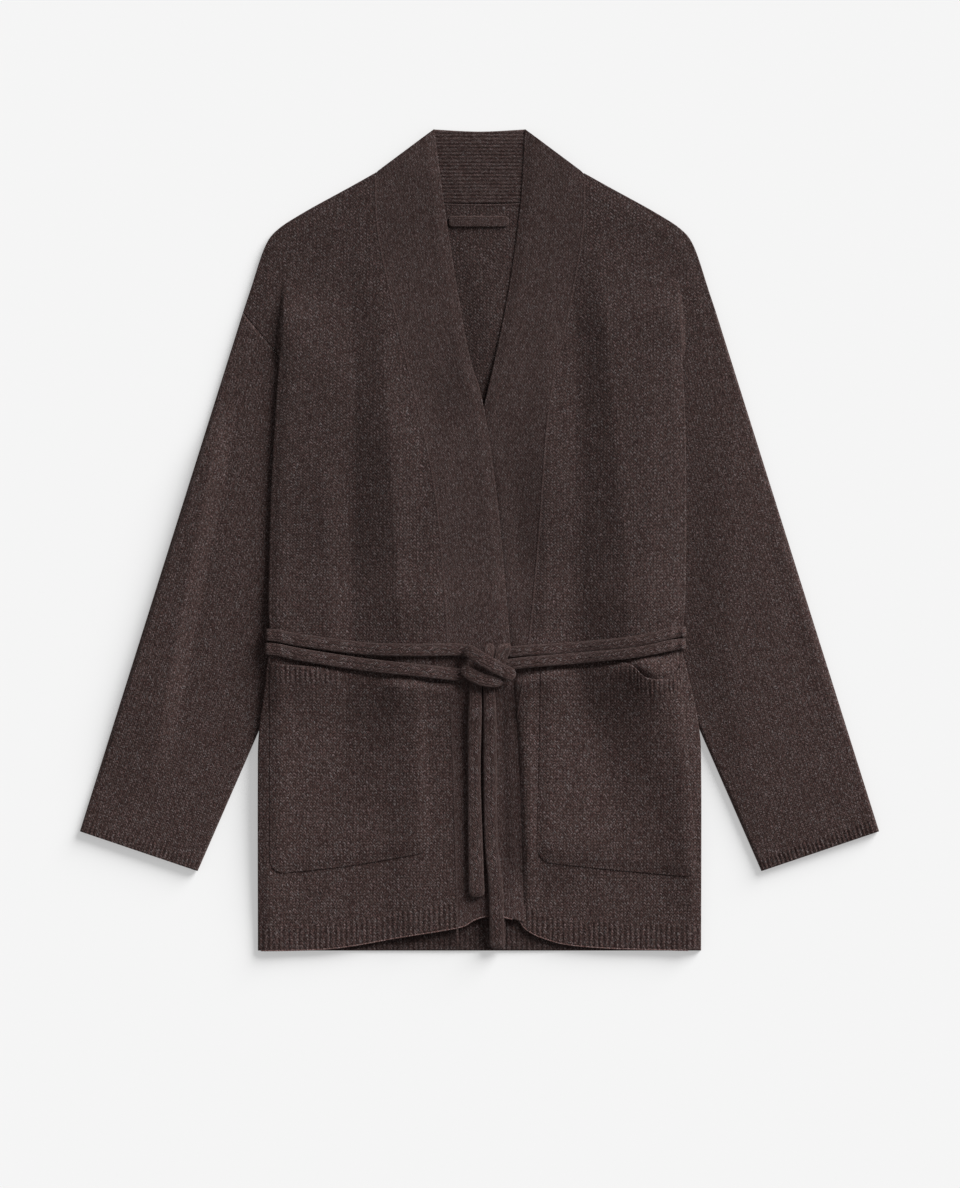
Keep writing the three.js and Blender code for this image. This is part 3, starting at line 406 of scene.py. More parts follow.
def cloth(
    spots, under, uv, rims="LRTB", thick=CLOTH, relief=0.0, round_over=1.3, sewn="", butted="",
):
    """A closed wall over a grid of spots, from its underside up. The edges in rims are rounded.

    The rows run down the garment and the columns to +X. rims names left, right, top and bottom.
    The cloth is thinner at the edges in sewn, where stitches hold it down, and hardly rounded at
    those in butted, which meet another piece.
    """
    rows, columns = under.shape
    across, down = along(spots, 1), along(spots, 0)
    reach, to_seam = np.full(under.shape, 1e9), np.full(under.shape, 1e9)
    for side, distance in (
        ("L", across), ("R", across[:, -1:] - across), ("T", down), ("B", down[-1:] - down),
    ):
        if side in rims:
            sharper = BUTTED_SHARPER if side in butted else 1
            reach = np.minimum(reach, distance * sharper)
        if side in sewn:
            to_seam = np.minimum(to_seam, distance)
    full = np.sqrt(np.clip(1 - (1 - np.minimum(reach, round_over) / round_over) ** 2, 0, 1))
    thick = thick * lerp(SEWN["share"], 1, smooth(to_seam / SEWN["reach"]))
    middle = under + thick / 2
    top = np.dstack([spots, middle + full * (thick / 2 + relief)]).reshape(-1, 3)
    low = np.dstack([spots, middle - full * thick / 2]).reshape(-1, 3)
    count = rows * columns
    at = np.arange(count).reshape(rows, columns)
    below = np.where(full < 1e-6, at, at + count)

    def quads(a):
        return np.stack([a[:-1, :-1], a[1:, :-1], a[1:, 1:], a[:-1, 1:]], axis=2).reshape(-1, 4)

    def rim(a):
        return np.r_[a[0, ::-1], a[1:, 0], a[-1, 1:], a[-2:0:-1, -1]]

    faces = quads(at).tolist() + quads(below)[:, ::-1].tolist()
    high, deep = rim(at), rim(below)
    for corners in zip(np.roll(high, -1), high, deep, np.roll(deep, -1)):
        wall = [int(v) for k, v in enumerate(corners) if v != corners[k - 1]]
        if len(set(wall)) >= 3:
            faces.append(wall)
    vertices = np.vstack([top, low])
    used = np.unique(np.concatenate([np.ravel(f) for f in faces]))
    renumber = np.full(len(vertices), -1)
    renumber[used] = np.arange(len(used))
    faces = [[int(renumber[i]) for i in face] for face in faces]
    both = np.vstack([uv.reshape(-1, 2)] * 2)
    return vertices[used], faces, both[used]


def shares(width, count):
    """Column shares from 0 to 1, closer together at both rims."""
    room = RIM[-1] * RIM_SPAN
    scale = np.minimum(1, width / room)
    left = RIM[None, :] * scale[:, None] / width[:, None]
    inner = np.linspace(0, 1, count)[None, 1:-1]
    middle = left[:, -1:] + (1 - 2 * left[:, -1:]) * inner
    return np.hstack([left, middle, 1 - left[:, ::-1]])


def panel_spots(levels, left, right, columns, top=None, bottom=None):
    """A grid between a left and a right line. top and bottom bend its first and last rows.

    top and bottom are (height of the first bent row, the line that the last one follows).
    """
    x0, x1 = left(levels), right(levels)
    s = shares(np.maximum(x1 - x0, 0.4), columns)
    x = x0[:, None] + (x1 - x0)[:, None] * s
    y = np.repeat(levels[:, None], x.shape[1], axis=1)
    for bend, end in ((top, levels[0]), (bottom, levels[-1])):
        if bend is None:
            continue
        start, line = bend
        share = np.clip((levels - start) / (end - start), 0, 1)[:, None]
        for _ in range(3):
            y = levels[:, None] + (line(x) - end) * share
            x0, x1 = left(y), right(y)
            x = x0 + (x1 - x0) * s
    return np.dstack([x, y])


def levels_between(top, bottom, step=ROW_STEP):
    """Row heights, closer together at both rims."""
    count = int(abs(top - bottom) / step)
    return np.r_[
        top - RIM[:-1],
        np.linspace(top - RIM[-1], bottom + RIM[-1], count),
        bottom + RIM[-2::-1],
    ]


def ribs(position, pitch, height):
    """Rounded ribs with narrow troughs between them, which lie about the cloth's own height."""
    wave = np.abs(np.sin(np.pi * position / pitch))
    return height * (wave**0.8 - 0.55)


# Knitting directions: courses slope with the shoulders at the chest, and level out to the hips
COURSE_SLOPE = dict(most=0.21, foot=-60, rise=220, x=100)


def body_uv(spots, side):
    x, y = xy(spots)
    slope = COURSE_SLOPE["most"] * smooth((y - COURSE_SLOPE["foot"]) / COURSE_SLOPE["rise"])
    return np.dstack([x, y - side * slope * (np.abs(x) - COURSE_SLOPE["x"])])


# A front's side edge, band seam, free edge of its band, hem and underside, by its side
FRONTS = {
    -1: (OUTER_RIGHT, BAND_SEAM_RIGHT, FRONT_EDGE_RIGHT, HEM_RIGHT, under_lapped),
    1: (OUTER_LEFT, BAND_SEAM_LEFT, FRONT_EDGE_LEFT, HEM_LEFT, under_front),
}


def hem_rib(left, right, columns, side, under, height, hem=None, butted=""):
    """The ribbed hem of a front or of the back, between its side edges."""
    levels = levels_between(HEM_Y + HEM_RIB, HEM_Y, 3)
    spots = panel_spots(levels, left, right, columns)
    share = (levels - levels[-1])[:, None] / HEM_RIB
    if hem is not None:
        spots[..., 1] = y_at(hem, spots[..., 0]) + share * HEM_RIB
    x, y = xy(spots)
    relief = ribs(x, RIB_PITCH, height) * smooth((0.97 - share) * 12)
    return cloth(spots, under(x, y), body_uv(spots, side), rims="LRB", relief=relief, butted=butted)


def make_front(name, side):
    outer, seam, _, hem, under = FRONTS[side]
    inner = lambda y: x_at(seam, y) + side * GAP / 2
    edge = lambda y: x_at(outer, y)
    left, right, sewn_side = (edge, inner, "R") if side < 0 else (inner, edge, "L")
    levels = levels_between(SHOULDER_TOP, HEM_Y + HEM_RIB)
    spots = panel_spots(levels, left, right, 78, bottom=(-300, lambda x: y_at(hem, x) + HEM_RIB))
    body = cloth(spots, under(*xy(spots)), body_uv(spots, side), rims="LRT",
                 butted=sewn_side)
    rib = hem_rib(left, right, 190, side, under, 1.15, hem, sewn_side)
    return new_piece(name, *joined([body, rib]), BODY, name)


def make_back():
    left, right = (lambda y: x_at(OUTER_RIGHT, y)), (lambda y: x_at(OUTER_LEFT, y))
    neck = lambda x: np.where(
        np.abs(x) < NECK_CORNER[0], y_at(NECK_SEAM, x) - GAP / 2, SHOULDER_TOP)
    levels = levels_between(SHOULDER_TOP, HEM_Y + HEM_RIB, BACK_ROW_STEP)
    spots = panel_spots(levels, left, right, 120, top=(270, neck))
    under = back_top(*xy(spots)) - CLOTH
    body = cloth(spots, under, body_uv(spots, -1), rims="LRT", butted="T")
    rib = hem_rib(left, right, 380, -1, back_bottom, 1.3)
    return new_piece("back", *joined([body, rib]), "knit_back", "back")


# The band thins out to its free edges
BAND_EDGE = dict(share=0.42, reach=10)
NECK_RIBS = dict(pitch=3.4, height=0.9)


def collar_top(x):
    """The band's upper edge behind the neck, and its fold down to the shoulders beside it."""
    (corner_x, corner_y), (end_x, end_y) = COLLAR_CORNER, NECK_CORNER
    fold = corner_y - (np.abs(x) - corner_x) * (corner_y - end_y) / (end_x - corner_x)
    return np.where(np.abs(x) < corner_x, y_at(COLLAR_TOP[::-1], x), fold)


def front_band(side):
    _, seam, edge, hem, under = FRONTS[side]
    fold = np.array([COLLAR_CORNER, NECK_CORNER], float)

    def sewn(y):
        return np.where(y > NECK_CORNER[1], side * x_at(fold, y), x_at(seam, y) - side * GAP / 2)

    free = lambda y: x_at(edge, y)
    left, right, sewn_side = (sewn, free, "L") if side < 0 else (free, sewn, "R")
    levels = levels_between(381.6, -351)
    spots = panel_spots(levels, left, right, 32, bottom=(-280, lambda x: y_at(hem, x)))
    x, y = xy(spots)
    uv = np.dstack([np.abs(x - x_at(edge, y)), y])
    thick = CLOTH * lerp(BAND_EDGE["share"], 1, smooth(uv[..., 0] / BAND_EDGE["reach"]))
    return cloth(spots, under(x, y), uv, thick=thick, butted=sewn_side)


def neck_band():
    top_y = COLLAR_CORNER[1]
    rows = np.arange(top_y - 0.5, NECK_LOW, -0.85)
    x, share = np.meshgrid(np.linspace(-94, 94, 120), (rows - top_y) / (NECK_LOW - top_y))
    y = lerp(collar_top(x), y_at(NECK_SEAM, x) + GAP / 2, share)
    under = back_top(x, y) - CLOTH
    relief = ribs(y, **NECK_RIBS)
    return cloth(np.dstack([x, y]), under, np.dstack([y, x]), relief=relief, butted="B")


def make_neckband():
    parts = [front_band(-1), front_band(1), neck_band()]
    return new_piece("neckband", *joined(parts), TRIM, "neckband")


# Sleeves
# A dome across each sleeve: the place of its top from the outer edge (0) to the inner one (1), its
# height, and the share of the width in which the cloth rises from the outer edge. A ridge: its ends,
# its height and the widths of its flanks to -X and +X
DOMES = {-1: dict(top=0.3, height=0.8, rise=0.03), 1: dict(top=0.78, height=5.5, rise=0.06)}
RIDGES = {
    -1: [dict(top=(-243, 110), bottom=(-301, -190), height=7.2, flanks=(180, 15))],
    1: [dict(top=(288, 0), bottom=(330, -150), height=1.5, flanks=(16, 16))],
}
DOME_SUNK, DOME_SINK = 0.7, (0.35, 0.5)  # how far the dome sinks to the cuff, and where on its way
RIDGE_RADIUS = 2
RIDGE_FADE = (60, 120)  # the distances about its top and bottom ends in which a ridge fades


def sleeve_crown(side, x, y, across, down):
    """How far a sleeve's top stands up. across and down are shares of its width and length."""
    dome = DOMES[side]
    reach = np.where(across < dome["top"], dome["top"], 1 - dome["top"])
    crown = dome["height"] * np.clip(1 - ((across - dome["top"]) / reach) ** 2, 0, 1)
    crown = crown * (1 - DOME_SUNK * smooth((down - DOME_SINK[0]) / DOME_SINK[1]))
    for ridge in RIDGES[side]:
        (top_x, top_y), (bottom_x, bottom_y) = ridge["top"], ridge["bottom"]
        crest = lerp(top_x, bottom_x, (top_y - y) / (top_y - bottom_y))
        fade = smooth((top_y - y) / RIDGE_FADE[0] + 0.5)
        fade = fade * smooth((y - bottom_y) / RIDGE_FADE[1] + 0.5)
        off = np.sqrt((x - crest) ** 2 + RIDGE_RADIUS**2) - RIDGE_RADIUS
        flank = np.where(x < crest, ridge["flanks"][0], ridge["flanks"][1])
        crown = crown + ridge["height"] * fade * np.clip(1 - off / flank, 0, 1)
    return crown


SLEEVE_LENGTH = np.linalg.norm(CUFF_OUTER - CAP_OUTER)
CUFF_RIB = 14
CUFF_RIBS = dict(pitch=4.0, height=1.6)
# A sleeve stands up by its crown only past these shares of its length, and beside the body
CROWN_CLEAR = dict(top=0.3, cuff=0.16, gap=2, beside=45)
LOW_COLUMNS, TURN_COLUMNS = 24, 7  # of a sleeve's underside and of each of its rounded edges


def sleeve_section(side, distance, inset):
    """A closed section of a sleeve's outside, or of its inside at the inset, and its UVs."""
    line = SIDE_RIGHT if side < 0 else SIDE_LEFT
    t = distance / SLEEVE_LENGTH
    start, end = lerp(CAP_OUTER, CUFF_OUTER, t), lerp(CAP_INNER, CUFF_INNER, t)
    width = np.linalg.norm(end - start)
    centre = SLEEVE_HEIGHT / 2
    radius = centre - inset
    turn = np.linspace(-math.pi / 2, math.pi / 2, TURN_COLUMNS + 2)[1:-1]
    tops = np.linspace(width - centre, centre, 110 if inset == 0 else 40)
    lows = np.linspace(centre, width - centre, LOW_COLUMNS)
    round_out = radius * np.cos(turn)
    x = np.r_[lows, width - centre + round_out, tops, centre - round_out]
    across = x / width
    right_x, y = (start + (end - start) * across[:, None]).T
    own_x = -side * right_x
    beyond = side * (own_x - x_at(line, y))
    clear = smooth(t / CROWN_CLEAR["top"]) * smooth((1 - t) / CROWN_CLEAR["cuff"])
    clear = clear * smooth(across / DOMES[side]["rise"])
    clear = clear * smooth((beyond - CROWN_CLEAR["gap"]) / CROWN_CLEAR["beside"])
    top = SLEEVE_HEIGHT - inset + sleeve_crown(side, own_x, y, across, t) * clear
    if inset == 0 and distance > SLEEVE_LENGTH - CUFF_RIB - 0.1:
        begin = smooth((distance - SLEEVE_LENGTH + CUFF_RIB) / 2)
        top = top + ribs(x, **CUFF_RIBS) * begin
    first = LOW_COLUMNS + TURN_COLUMNS
    z = np.r_[
        np.full(LOW_COLUMNS, inset), centre + radius * np.sin(turn),
        top[first : first + len(tops)], centre - radius * np.sin(turn),
    ]
    return np.column_stack([own_x, y, z]), np.column_stack([x, np.full(len(x), -distance)])


def make_sleeve(name, side):
    rib = SLEEVE_LENGTH - CUFF_RIB
    lengths = np.r_[np.arange(0, rib, 3.2), np.linspace(rib, SLEEVE_LENGTH, 8)]

    def rings(inset):
        return map(np.array, zip(*(sleeve_section(side, distance, inset) for distance in lengths)))

    outer, outer_uv = rings(0)
    inner, inner_uv = rings(CLOTH)
    n, m, k = len(lengths), outer.shape[1], inner.shape[1]
    a = np.arange(n * m).reshape(n, m)
    b = np.arange(n * k).reshape(n, k) + n * m

    faces = ring_walls(a) + [f[::-1] for f in ring_walls(b)]
    for row in (0, n - 1):
        faces += bridge(a[row], b[row], outer[row], inner[row], row == 0)
    vertices = np.vstack([outer.reshape(-1, 3), inner.reshape(-1, 3)])
    uvs = np.vstack([outer_uv.reshape(-1, 2), inner_uv.reshape(-1, 2)])
    if side > 0:
        faces = [f[::-1] for f in faces]
    return new_piece(name, vertices, faces, uvs, BODY, name)


def ring_walls(grid):
    """Faces between the closed rings that are a grid's rows."""
    after = np.roll(grid, -1, axis=1)
    return np.stack([grid[:-1], after[:-1], after[1:], grid[1:]], axis=2).reshape(-1, 4).tolist()


def bridge(a, b, points_a, points_b, flip):
    """Triangles between two closed rings with different counts of points."""
    def place(points):
        steps = np.linalg.norm(np.diff(np.vstack([points, points[:1]]), axis=0), axis=1)
        return np.r_[0, np.cumsum(steps)] / steps.sum()

    pa, pb = place(points_a), place(points_b)
    i = j = 0
    faces = []
    while i < len(a) or j < len(b):
        if j == len(b) or (i < len(a) and pa[i + 1] <= pb[j + 1]):
            faces.append([a[i], b[j % len(b)], a[(i + 1) % len(a)]])
            i += 1
        else:
            faces.append([a[i % len(a)], b[j], b[(j + 1) % len(b)]])
            j += 1
    return [[int(v) for v in (f if flip else f[::-1])] for f in faces]


# Pockets
POCKETS = {
    "pocket_right": dict(
        mouth=spline([(-195, -114.5), (-165, -117), (-135, -117), (-92, -115), (-50, -117)]),
        low=spline([(-195, -311), (-120, -303), (-45, -290)]),
        under=under_lapped,
        side=-1,
    ),
    "pocket_left": dict(
        mouth=MOUTH_LEFT,
        low=spline([(53, -299), (120, -306.5), (203, -314)]),
        under=under_front,
        side=1,
    ),
}
POCKET_CLOTH = 1.8
POCKET_SIZE = (150.0, 190.0)
MOUTH_GAPE = dict(height=2.6, x=166, spread=20, y=-165, rise=50)
MOUTH_RIBS = dict(pitch=RIB_PITCH, height=1.25)
MOUTH_RIB = 17  # how far down from the mouth the ribs reach
RIBS_STRETCHED = dict(share=0.15, x=112, ease=30)  # how flat the ribs are pulled towards the band
SIDE_SUNK = dict(depth=0.4, width=5, below=20)  # the side edges lie in the cloth below the mouth
CORNER = 14


def mouth_gape(x, y):
    rise = smooth((y - MOUTH_GAPE["y"]) / MOUTH_GAPE["rise"])
    return MOUTH_GAPE["height"] * bump(MOUTH_GAPE, x) * rise


def rim_spaced(size, count):
    """Places across a pocket, closer together at both rims."""
    inner = np.linspace(RIM[-1], size - RIM[-1], count)[1:-1]
    return np.r_[RIM, inner, size - RIM[::-1]]


def make_pocket(name, mouth, low, under, side):
    wide, tall = POCKET_SIZE
    u, v = np.meshgrid(rim_spaced(wide, 130), rim_spaced(tall, 84))
    # the lower corners of the square grid are drawn in to arcs
    for corner_x, sign in ((CORNER, -1), (wide - CORNER, 1)):
        du, dv = (u - corner_x) * sign, v - (tall - CORNER)
        held = (du > 0) & (dv > 0)
        pull = np.where(held, np.maximum(du, dv) / np.maximum(np.hypot(du, dv), 1e-9), 1)
        u = np.where(held, corner_x + sign * du * pull, u)
        v = np.where(held, tall - CORNER + dv * pull, v)
    s, t = u / wide, v / tall
    top, end = (
        np.dstack([np.interp(s, np.linspace(0, 1, len(line)), line[:, i]) for i in (0, 1)])
        for line in (mouth, low)
    )
    spots = lerp(top, end, t[..., None])
    x, y = xy(spots)
    gape = mouth_gape(x, y)
    pulled = smooth((np.abs(x) - RIBS_STRETCHED["x"]) / RIBS_STRETCHED["ease"])
    stretched = lerp(RIBS_STRETCHED["share"], 1, pulled)
    relief = ribs(u, **MOUTH_RIBS) * smooth((MOUTH_RIB - v) / 2) * stretched
    sunk = SIDE_SUNK["depth"] * (1 - smooth(np.minimum(u, wide - u) / SIDE_SUNK["width"]))
    sunk = sunk * smooth((v - SIDE_SUNK["below"]) / SIDE_SUNK["below"])
    wall = cloth(
        spots, under(x, y) + CLOTH + GAP + gape - sunk, body_uv(spots, side), thick=POCKET_CLOTH,
        relief=relief, round_over=0.8, sewn="LRB",
    )
    return new_piece(name, *wall, BODY, name)


def top_at(x, y):
    """The top of whatever shows at a point of the body."""
    lapped = x < x_at(FRONT_EDGE_RIGHT, y) + 3
    z = np.where(lapped, under_lapped(x, y), under_front(x, y)) + CLOTH
    for pocket in POCKETS.values():
        outline = np.vstack([pocket["mouth"], pocket["low"][::-1]])
        closed = np.vstack([outline, outline[:1]])
        on = inside(outline, x, y) | (distance_to(closed, x, y) < 3)
        z = z + on * (POCKET_CLOTH + GAP + mouth_gape(x, y))
    return z


# Belt
BELT_CLEAR = 0.45
RUNS = {
    "belt_right_upper": dict(side=-1, rows=[
        (-190, -88.5, 11.5), (-165, -93.5, 12), (-107, -101, 12), (-60, -102.5, 12),
        (-24, -102, 12), (-7, -104, 11.5),
    ]),
    "belt_right_lower": dict(side=-1, rows=[
        (-190, -101.5, 11.5), (-165, -107, 12), (-107, -116, 12), (-55, -121.5, 12),
        (-18, -125.5, 12), (-11, -125.5, 11.5),
    ]),
    "belt_left_upper": dict(side=1, rows=[
        (183, -85.5, 10.5), (149, -93.5, 10.4), (112, -98, 10.4), (75, -101, 10.4),
        (40, -103.2, 10.4), (26, -104.5, 10.4),
    ]),
    "belt_left_lower": dict(side=1, rows=[
        (182, -97, 10.5), (149, -104, 10.4), (112, -108.1, 10.4), (56, -112.9, 10.6),
        (36, -114.8, 10.6), (24, -116.6, 10.6),
    ]),
}
TAILS = {
    "belt_tail_right": [
        (-3.5, -124, 10), (-3.6, -136, 11.5), (-4.6, -170, 13), (-5.1, -219, 12.2),
        (-4, -281, 14), (-2.8, -326, 15),
    ],
    "belt_tail_left": [
        (7.5, -124, 10), (8.8, -140, 11), (9.6, -170, 12.4), (9.8, -219, 12.6),
        (10.9, -281, 12.6), (15, -323, 13.8), (16.2, -374, 14.4),
    ],
}
BELT_THICK, TAIL_THICK = 3.2, 4.8
TAIL_SAG = dict(start=-346, fall=34, depth=4)  # past the fronts' hems
# A tail's rounded end: distances past its last row, and shares of its width and thickness there
TAIL_TIP = [
    (2.4, 0.97, 0.95), (4.2, 0.86, 0.85), (5.6, 0.66, 0.7), (6.4, 0.4, 0.45), (6.7, 0.12, 0.15),
]
BACK_INSET, BACK_WIDTH, BACK_COUNT = 8, 12.0, 150  # of the belt's runs behind the back


def strand(centres, widths, thicknesses, across, sides=22):
    """A closed run of flattened cord. Its width stays along the vector across."""
    tangent = np.gradient(centres, axis=0)
    tangent /= np.linalg.norm(tangent, axis=1)[:, None]
    wide = across - tangent * (tangent @ across)[:, None]
    wide /= np.linalg.norm(wide, axis=1)[:, None]
    up = np.cross(tangent, wide)
    up *= np.sign(up[:, 2:3] + 1e-9) if abs(up[:, 2]).min() > 0.2 else 1
    angle = 2 * math.pi * (np.arange(sides) + 0.5) / sides
    cos = np.sign(np.cos(angle)) * np.abs(np.cos(angle)) ** 0.7
    sin = np.sign(np.sin(angle)) * np.abs(np.sin(angle)) ** 0.5
    rings = (
        centres[:, None]
        + wide[:, None] * (cos * widths[:, None] / 2)[..., None]
        + up[:, None] * (sin * thicknesses[:, None] / 2)[..., None]
    )
    n = len(centres)
    grid = np.arange(n * sides).reshape(n, sides)
    faces = ring_walls(grid)
    faces += [grid[0][::-1].tolist(), grid[-1].tolist()]
    lengths = lengths_along(centres)
    girth = widths[:, None] * np.linspace(0, 2.3, sides)[None, :]
    uv = np.dstack([girth, np.repeat(lengths[:, None], sides, axis=1)])
    if np.dot(np.cross(wide[0], up[0]), tangent[0]) < 0:
        faces = [f[::-1] for f in faces]
    return rings.reshape(-1, 3), faces, uv.reshape(-1, 2)


def near(values, reach=5):
    """Each value with those up to reach places before and after it."""
    padded = np.pad(values, reach, mode="edge")
    return np.lib.stride_tricks.sliding_window_view(padded, 2 * reach + 1)


def run_over(rows, thick, across):
    """Centres and widths of a run that rests on the cloth's crests and spans its hollows."""
    path = spline(rows, 2.4)
    tops = np.max([
        top_at(path[:, 0] + across[0] * s * path[:, 2], path[:, 1] + across[1] * s * path[:, 2])
        for s in (-0.5, -0.25, 0, 0.25, 0.5)
    ], axis=0)
    eased = near(near(tops).max(axis=1)).mean(axis=1)
    z = np.maximum(eased, tops) + BELT_CLEAR + thick / 2
    return np.column_stack([path[:, :2], z]), path[:, 2]


ALONG_X, ALONG_Y = np.array([1.0, 0, 0]), np.array([0, 1.0, 0])


def make_run(name, side, rows):
    centres, widths = run_over(rows, BELT_THICK, ALONG_Y)
    y = rows[0][1]
    edge = float(x_at(SIDE_RIGHT if side < 0 else SIDE_LEFT, y))
    under = float(back_bottom(np.array(edge), np.array(y)))
    over = under + 2 * CLOTH + GAP
    half = BELT_TURN / 2
    turn = spline([
        (-8, under - GAP - half), (-2, under - GAP - half), (1.5, under - GAP - half + 0.3),
        (2.1, under + 1.6), (2.1, over - 1.2), (1.6, over + half + 0.2), (-2, over + half + 0.6),
    ], 1.2)
    start = np.column_stack([edge + side * turn[:, 0], np.full(len(turn), y), turn[:, 1]])
    begin = 2 if abs(centres[0, 0]) < abs(edge) - 3 else 4
    path = np.vstack([start, centres[begin:]])
    count = len(start)
    thick = np.interp(np.arange(len(path)), [count, count + 7], [BELT_TURN, BELT_THICK])
    wide = np.r_[np.full(count, widths[0]), widths[begin:]]
    return new_piece(name, *strand(path, wide, thick, ALONG_Y), "belt_knit", name)


def make_tail(name, rows):
    centres, widths = run_over(rows, TAIL_THICK, ALONG_X)
    sag = smooth((TAIL_SAG["start"] - centres[:, 1]) / TAIL_SAG["fall"])
    centres[:, 2] -= TAIL_SAG["depth"] * sag
    end, width = centres[-1], widths[-1]
    thick = np.r_[np.full(len(centres), TAIL_THICK), [TAIL_THICK * s for *_, s in TAIL_TIP]]
    centres = np.vstack([centres] + [end - np.array([0, out, 0]) for out, *_ in TAIL_TIP])
    widths = np.r_[widths, [width * share for _, share, _ in TAIL_TIP]]
    return new_piece(name, *strand(centres, widths, thick, ALONG_X), "belt_knit", name)


def make_belt_back(name, right_y, left_y):
    inset = BACK_INSET + GAP
    x = np.linspace(x_at(SIDE_RIGHT, right_y) + inset, x_at(SIDE_LEFT, left_y) - inset, BACK_COUNT)
    y = np.linspace(right_y, left_y, BACK_COUNT)
    centres = np.column_stack([x, y, sleeve_lift(x, y) + BELT_TURN / 2])
    widths, thick = np.full(BACK_COUNT, BACK_WIDTH), np.full(BACK_COUNT, BELT_TURN - 0.02)
    return new_piece(name, *strand(centres, widths, thick, ALONG_Y), "belt_knit", name)


KNOT_X, KNOT_Y = np.meshgrid([-18, -9, 0, 9, 18, 27, 34], [-97, -106, -115, -124, -133])
KNOT_REST = float(top_at(KNOT_X, KNOT_Y).max()) + BELT_CLEAR
# The knot's bands: x, y, height over the cloth and width of each section
KNOT_BANDS = [
    dict(across=(0.5, 1, 0), thick=4.2, rows=[
        (-14, -101.5, 1.8, 11), (-9.5, -103.5, 4.2, 12), (-5, -106.5, 6.2, 12.6),
        (4, -112, 7.4, 13), (14, -117.6, 7.2, 13), (24, -122.6, 5.6, 12.4),
        (30.5, -125.5, 2.6, 11.5), (33, -126, 0.6, 10),
    ]),
    dict(across=(0.35, 1, 0), thick=4.2, rows=[
        (-15, -118, 1, 10), (-12, -122, 3, 11.5), (-5, -126.8, 4.4, 12), (5, -130.6, 4.6, 12),
        (14, -131.4, 4, 11.5), (20, -129.6, 2.4, 10.5), (22, -128, 0.6, 9),
    ]),
    dict(across=(1, 0.1, 0), thick=4, rows=[
        (8, -113, 5.2, 10), (8.5, -107.5, 5.2, 10), (9, -102, 4, 9.6), (9.6, -98.6, 2, 9),
        (10, -97, 0.4, 8),
    ]),
    dict(across=(1, 0.35, 0), thick=4.4, rows=[
        (19, -118, 5.2, 11), (19.5, -110, 6, 12.4), (22, -103, 5.2, 13), (25, -98.6, 2.8, 12),
        (26.5, -97, 0.6, 10),
    ]),
]


def make_knot():
    parts = []
    for band in KNOT_BANDS:
        path = spline(band["rows"], 1.2)
        centres = path[:, :3] + (0, 0, KNOT_REST)
        ends = np.minimum(np.arange(len(path)), np.arange(len(path))[::-1])
        soft = np.sqrt(np.clip((ends + 0.6) / 3, 0, 1))
        across = np.array(band["across"], float)
        across /= np.linalg.norm(across)
        parts.append(strand(centres, path[:, 3] * soft, band["thick"] * soft, across))
    return new_piece("belt_knot", *joined(parts), "belt_knit", "belt_knot")


LOOP_X, LOOP_Y, LOOP_THICK, LOOP_RISE = (-29, 27), (301, 290.5), 1.5, 0.3


def make_hanger_loop():
    x, y = np.meshgrid(np.linspace(*LOOP_X, 60), np.linspace(*LOOP_Y, 14))
    ends = np.minimum(x - LOOP_X[0], LOOP_X[1] - x)
    middle = sum(LOOP_Y) / 2
    y = middle + (y - middle) * np.sqrt(np.clip(ends / 4 + 0.25, 0, 1))
    under = back_top(x, y) + GAP + LOOP_RISE * smooth(ends / 14)
    wall = cloth(np.dstack([x, y]), under, np.dstack([y, x]), thick=LOOP_THICK, round_over=0.75)
    return new_piece("hanger_loop", *wall, "loop_knit", "hanger_loop")


# Chains of stitches that lie over the seams, and pale chains along the hems' lower edges that are a
# painted highlight
CHAIN_PITCH = 2.6
SEAM = dict(width=2.2, height=0.4, swell=0.3)
HEM_HIGHLIGHT = dict(width=1.5, height=1.7, swell=0.25)
HEM_HIGHLIGHT_RISE = CLOTH * 0.75


def make_chain(name, line, under, rise, across, slot, width, height, swell):
    path = spline(line[::4], 0.65)
    size = 1 - swell + swell * np.abs(np.sin(np.pi * lengths_along(path) / CHAIN_PITCH))
    centres = np.column_stack([path, under(path[:, 0], path[:, 1]) + rise])
    chain = strand(centres, width * size, height * size, across, sides=8)
    return new_piece(name, *chain, slot, None)


def between(line, axis, low, high):
    return line[(line[:, axis] > low) & (line[:, axis] < high)]


def make_seams():
    right, left = (between(line, 1, -377, 341) for line in (BAND_SEAM_RIGHT, BAND_SEAM_LEFT))
    return [
        make_chain("seam_band_right", right, under_lapped, CLOTH, ALONG_X, TRIM, **SEAM),
        make_chain("seam_band_left", left, under_front, CLOTH, ALONG_X, TRIM, **SEAM),
        make_chain("seam_neck", NECK_SEAM, back_top, 0, ALONG_Y, TRIM, **SEAM),
    ]


# Painted highlight: pale chains along the lower edges of the fronts' hems
def make_hem_highlights():
    return [
        make_chain("hem_highlight_" + name, line, under, HEM_HIGHLIGHT_RISE, ALONG_Y, BODY, **HEM_HIGHLIGHT)
        for name, line, under in (
            ("right", between(HEM_RIGHT, 0, -205, 40.5), under_lapped),
            ("left", between(HEM_LEFT, 0, 24, 205), under_front),
        )
    ]


# Materials
def linear(red, green, blue):
    """A colour given in the photograph's 0 to 255, as the shader wants it."""
    values = [c / 255 for c in (red, green, blue)]
    return [c / 12.92 if c <= 0.04045 else ((c + 0.055) / 1.055) ** 2.4 for c in values] + [1]


def fill(node, values):
    for name, value in values.items():
        node.inputs[name].default_value = value


# The yarn's tones, from a place on its ramp: strands of dark red, brown and pale grey
YARN_TONES = (
    (0.14, (31, 13, 13)), (0.50, (52, 39, 35)), (0.74, (71, 60, 58)), (1.0, (98, 96, 97)),
)
REDDER = (1.35, 0.86, 0.88, 1)
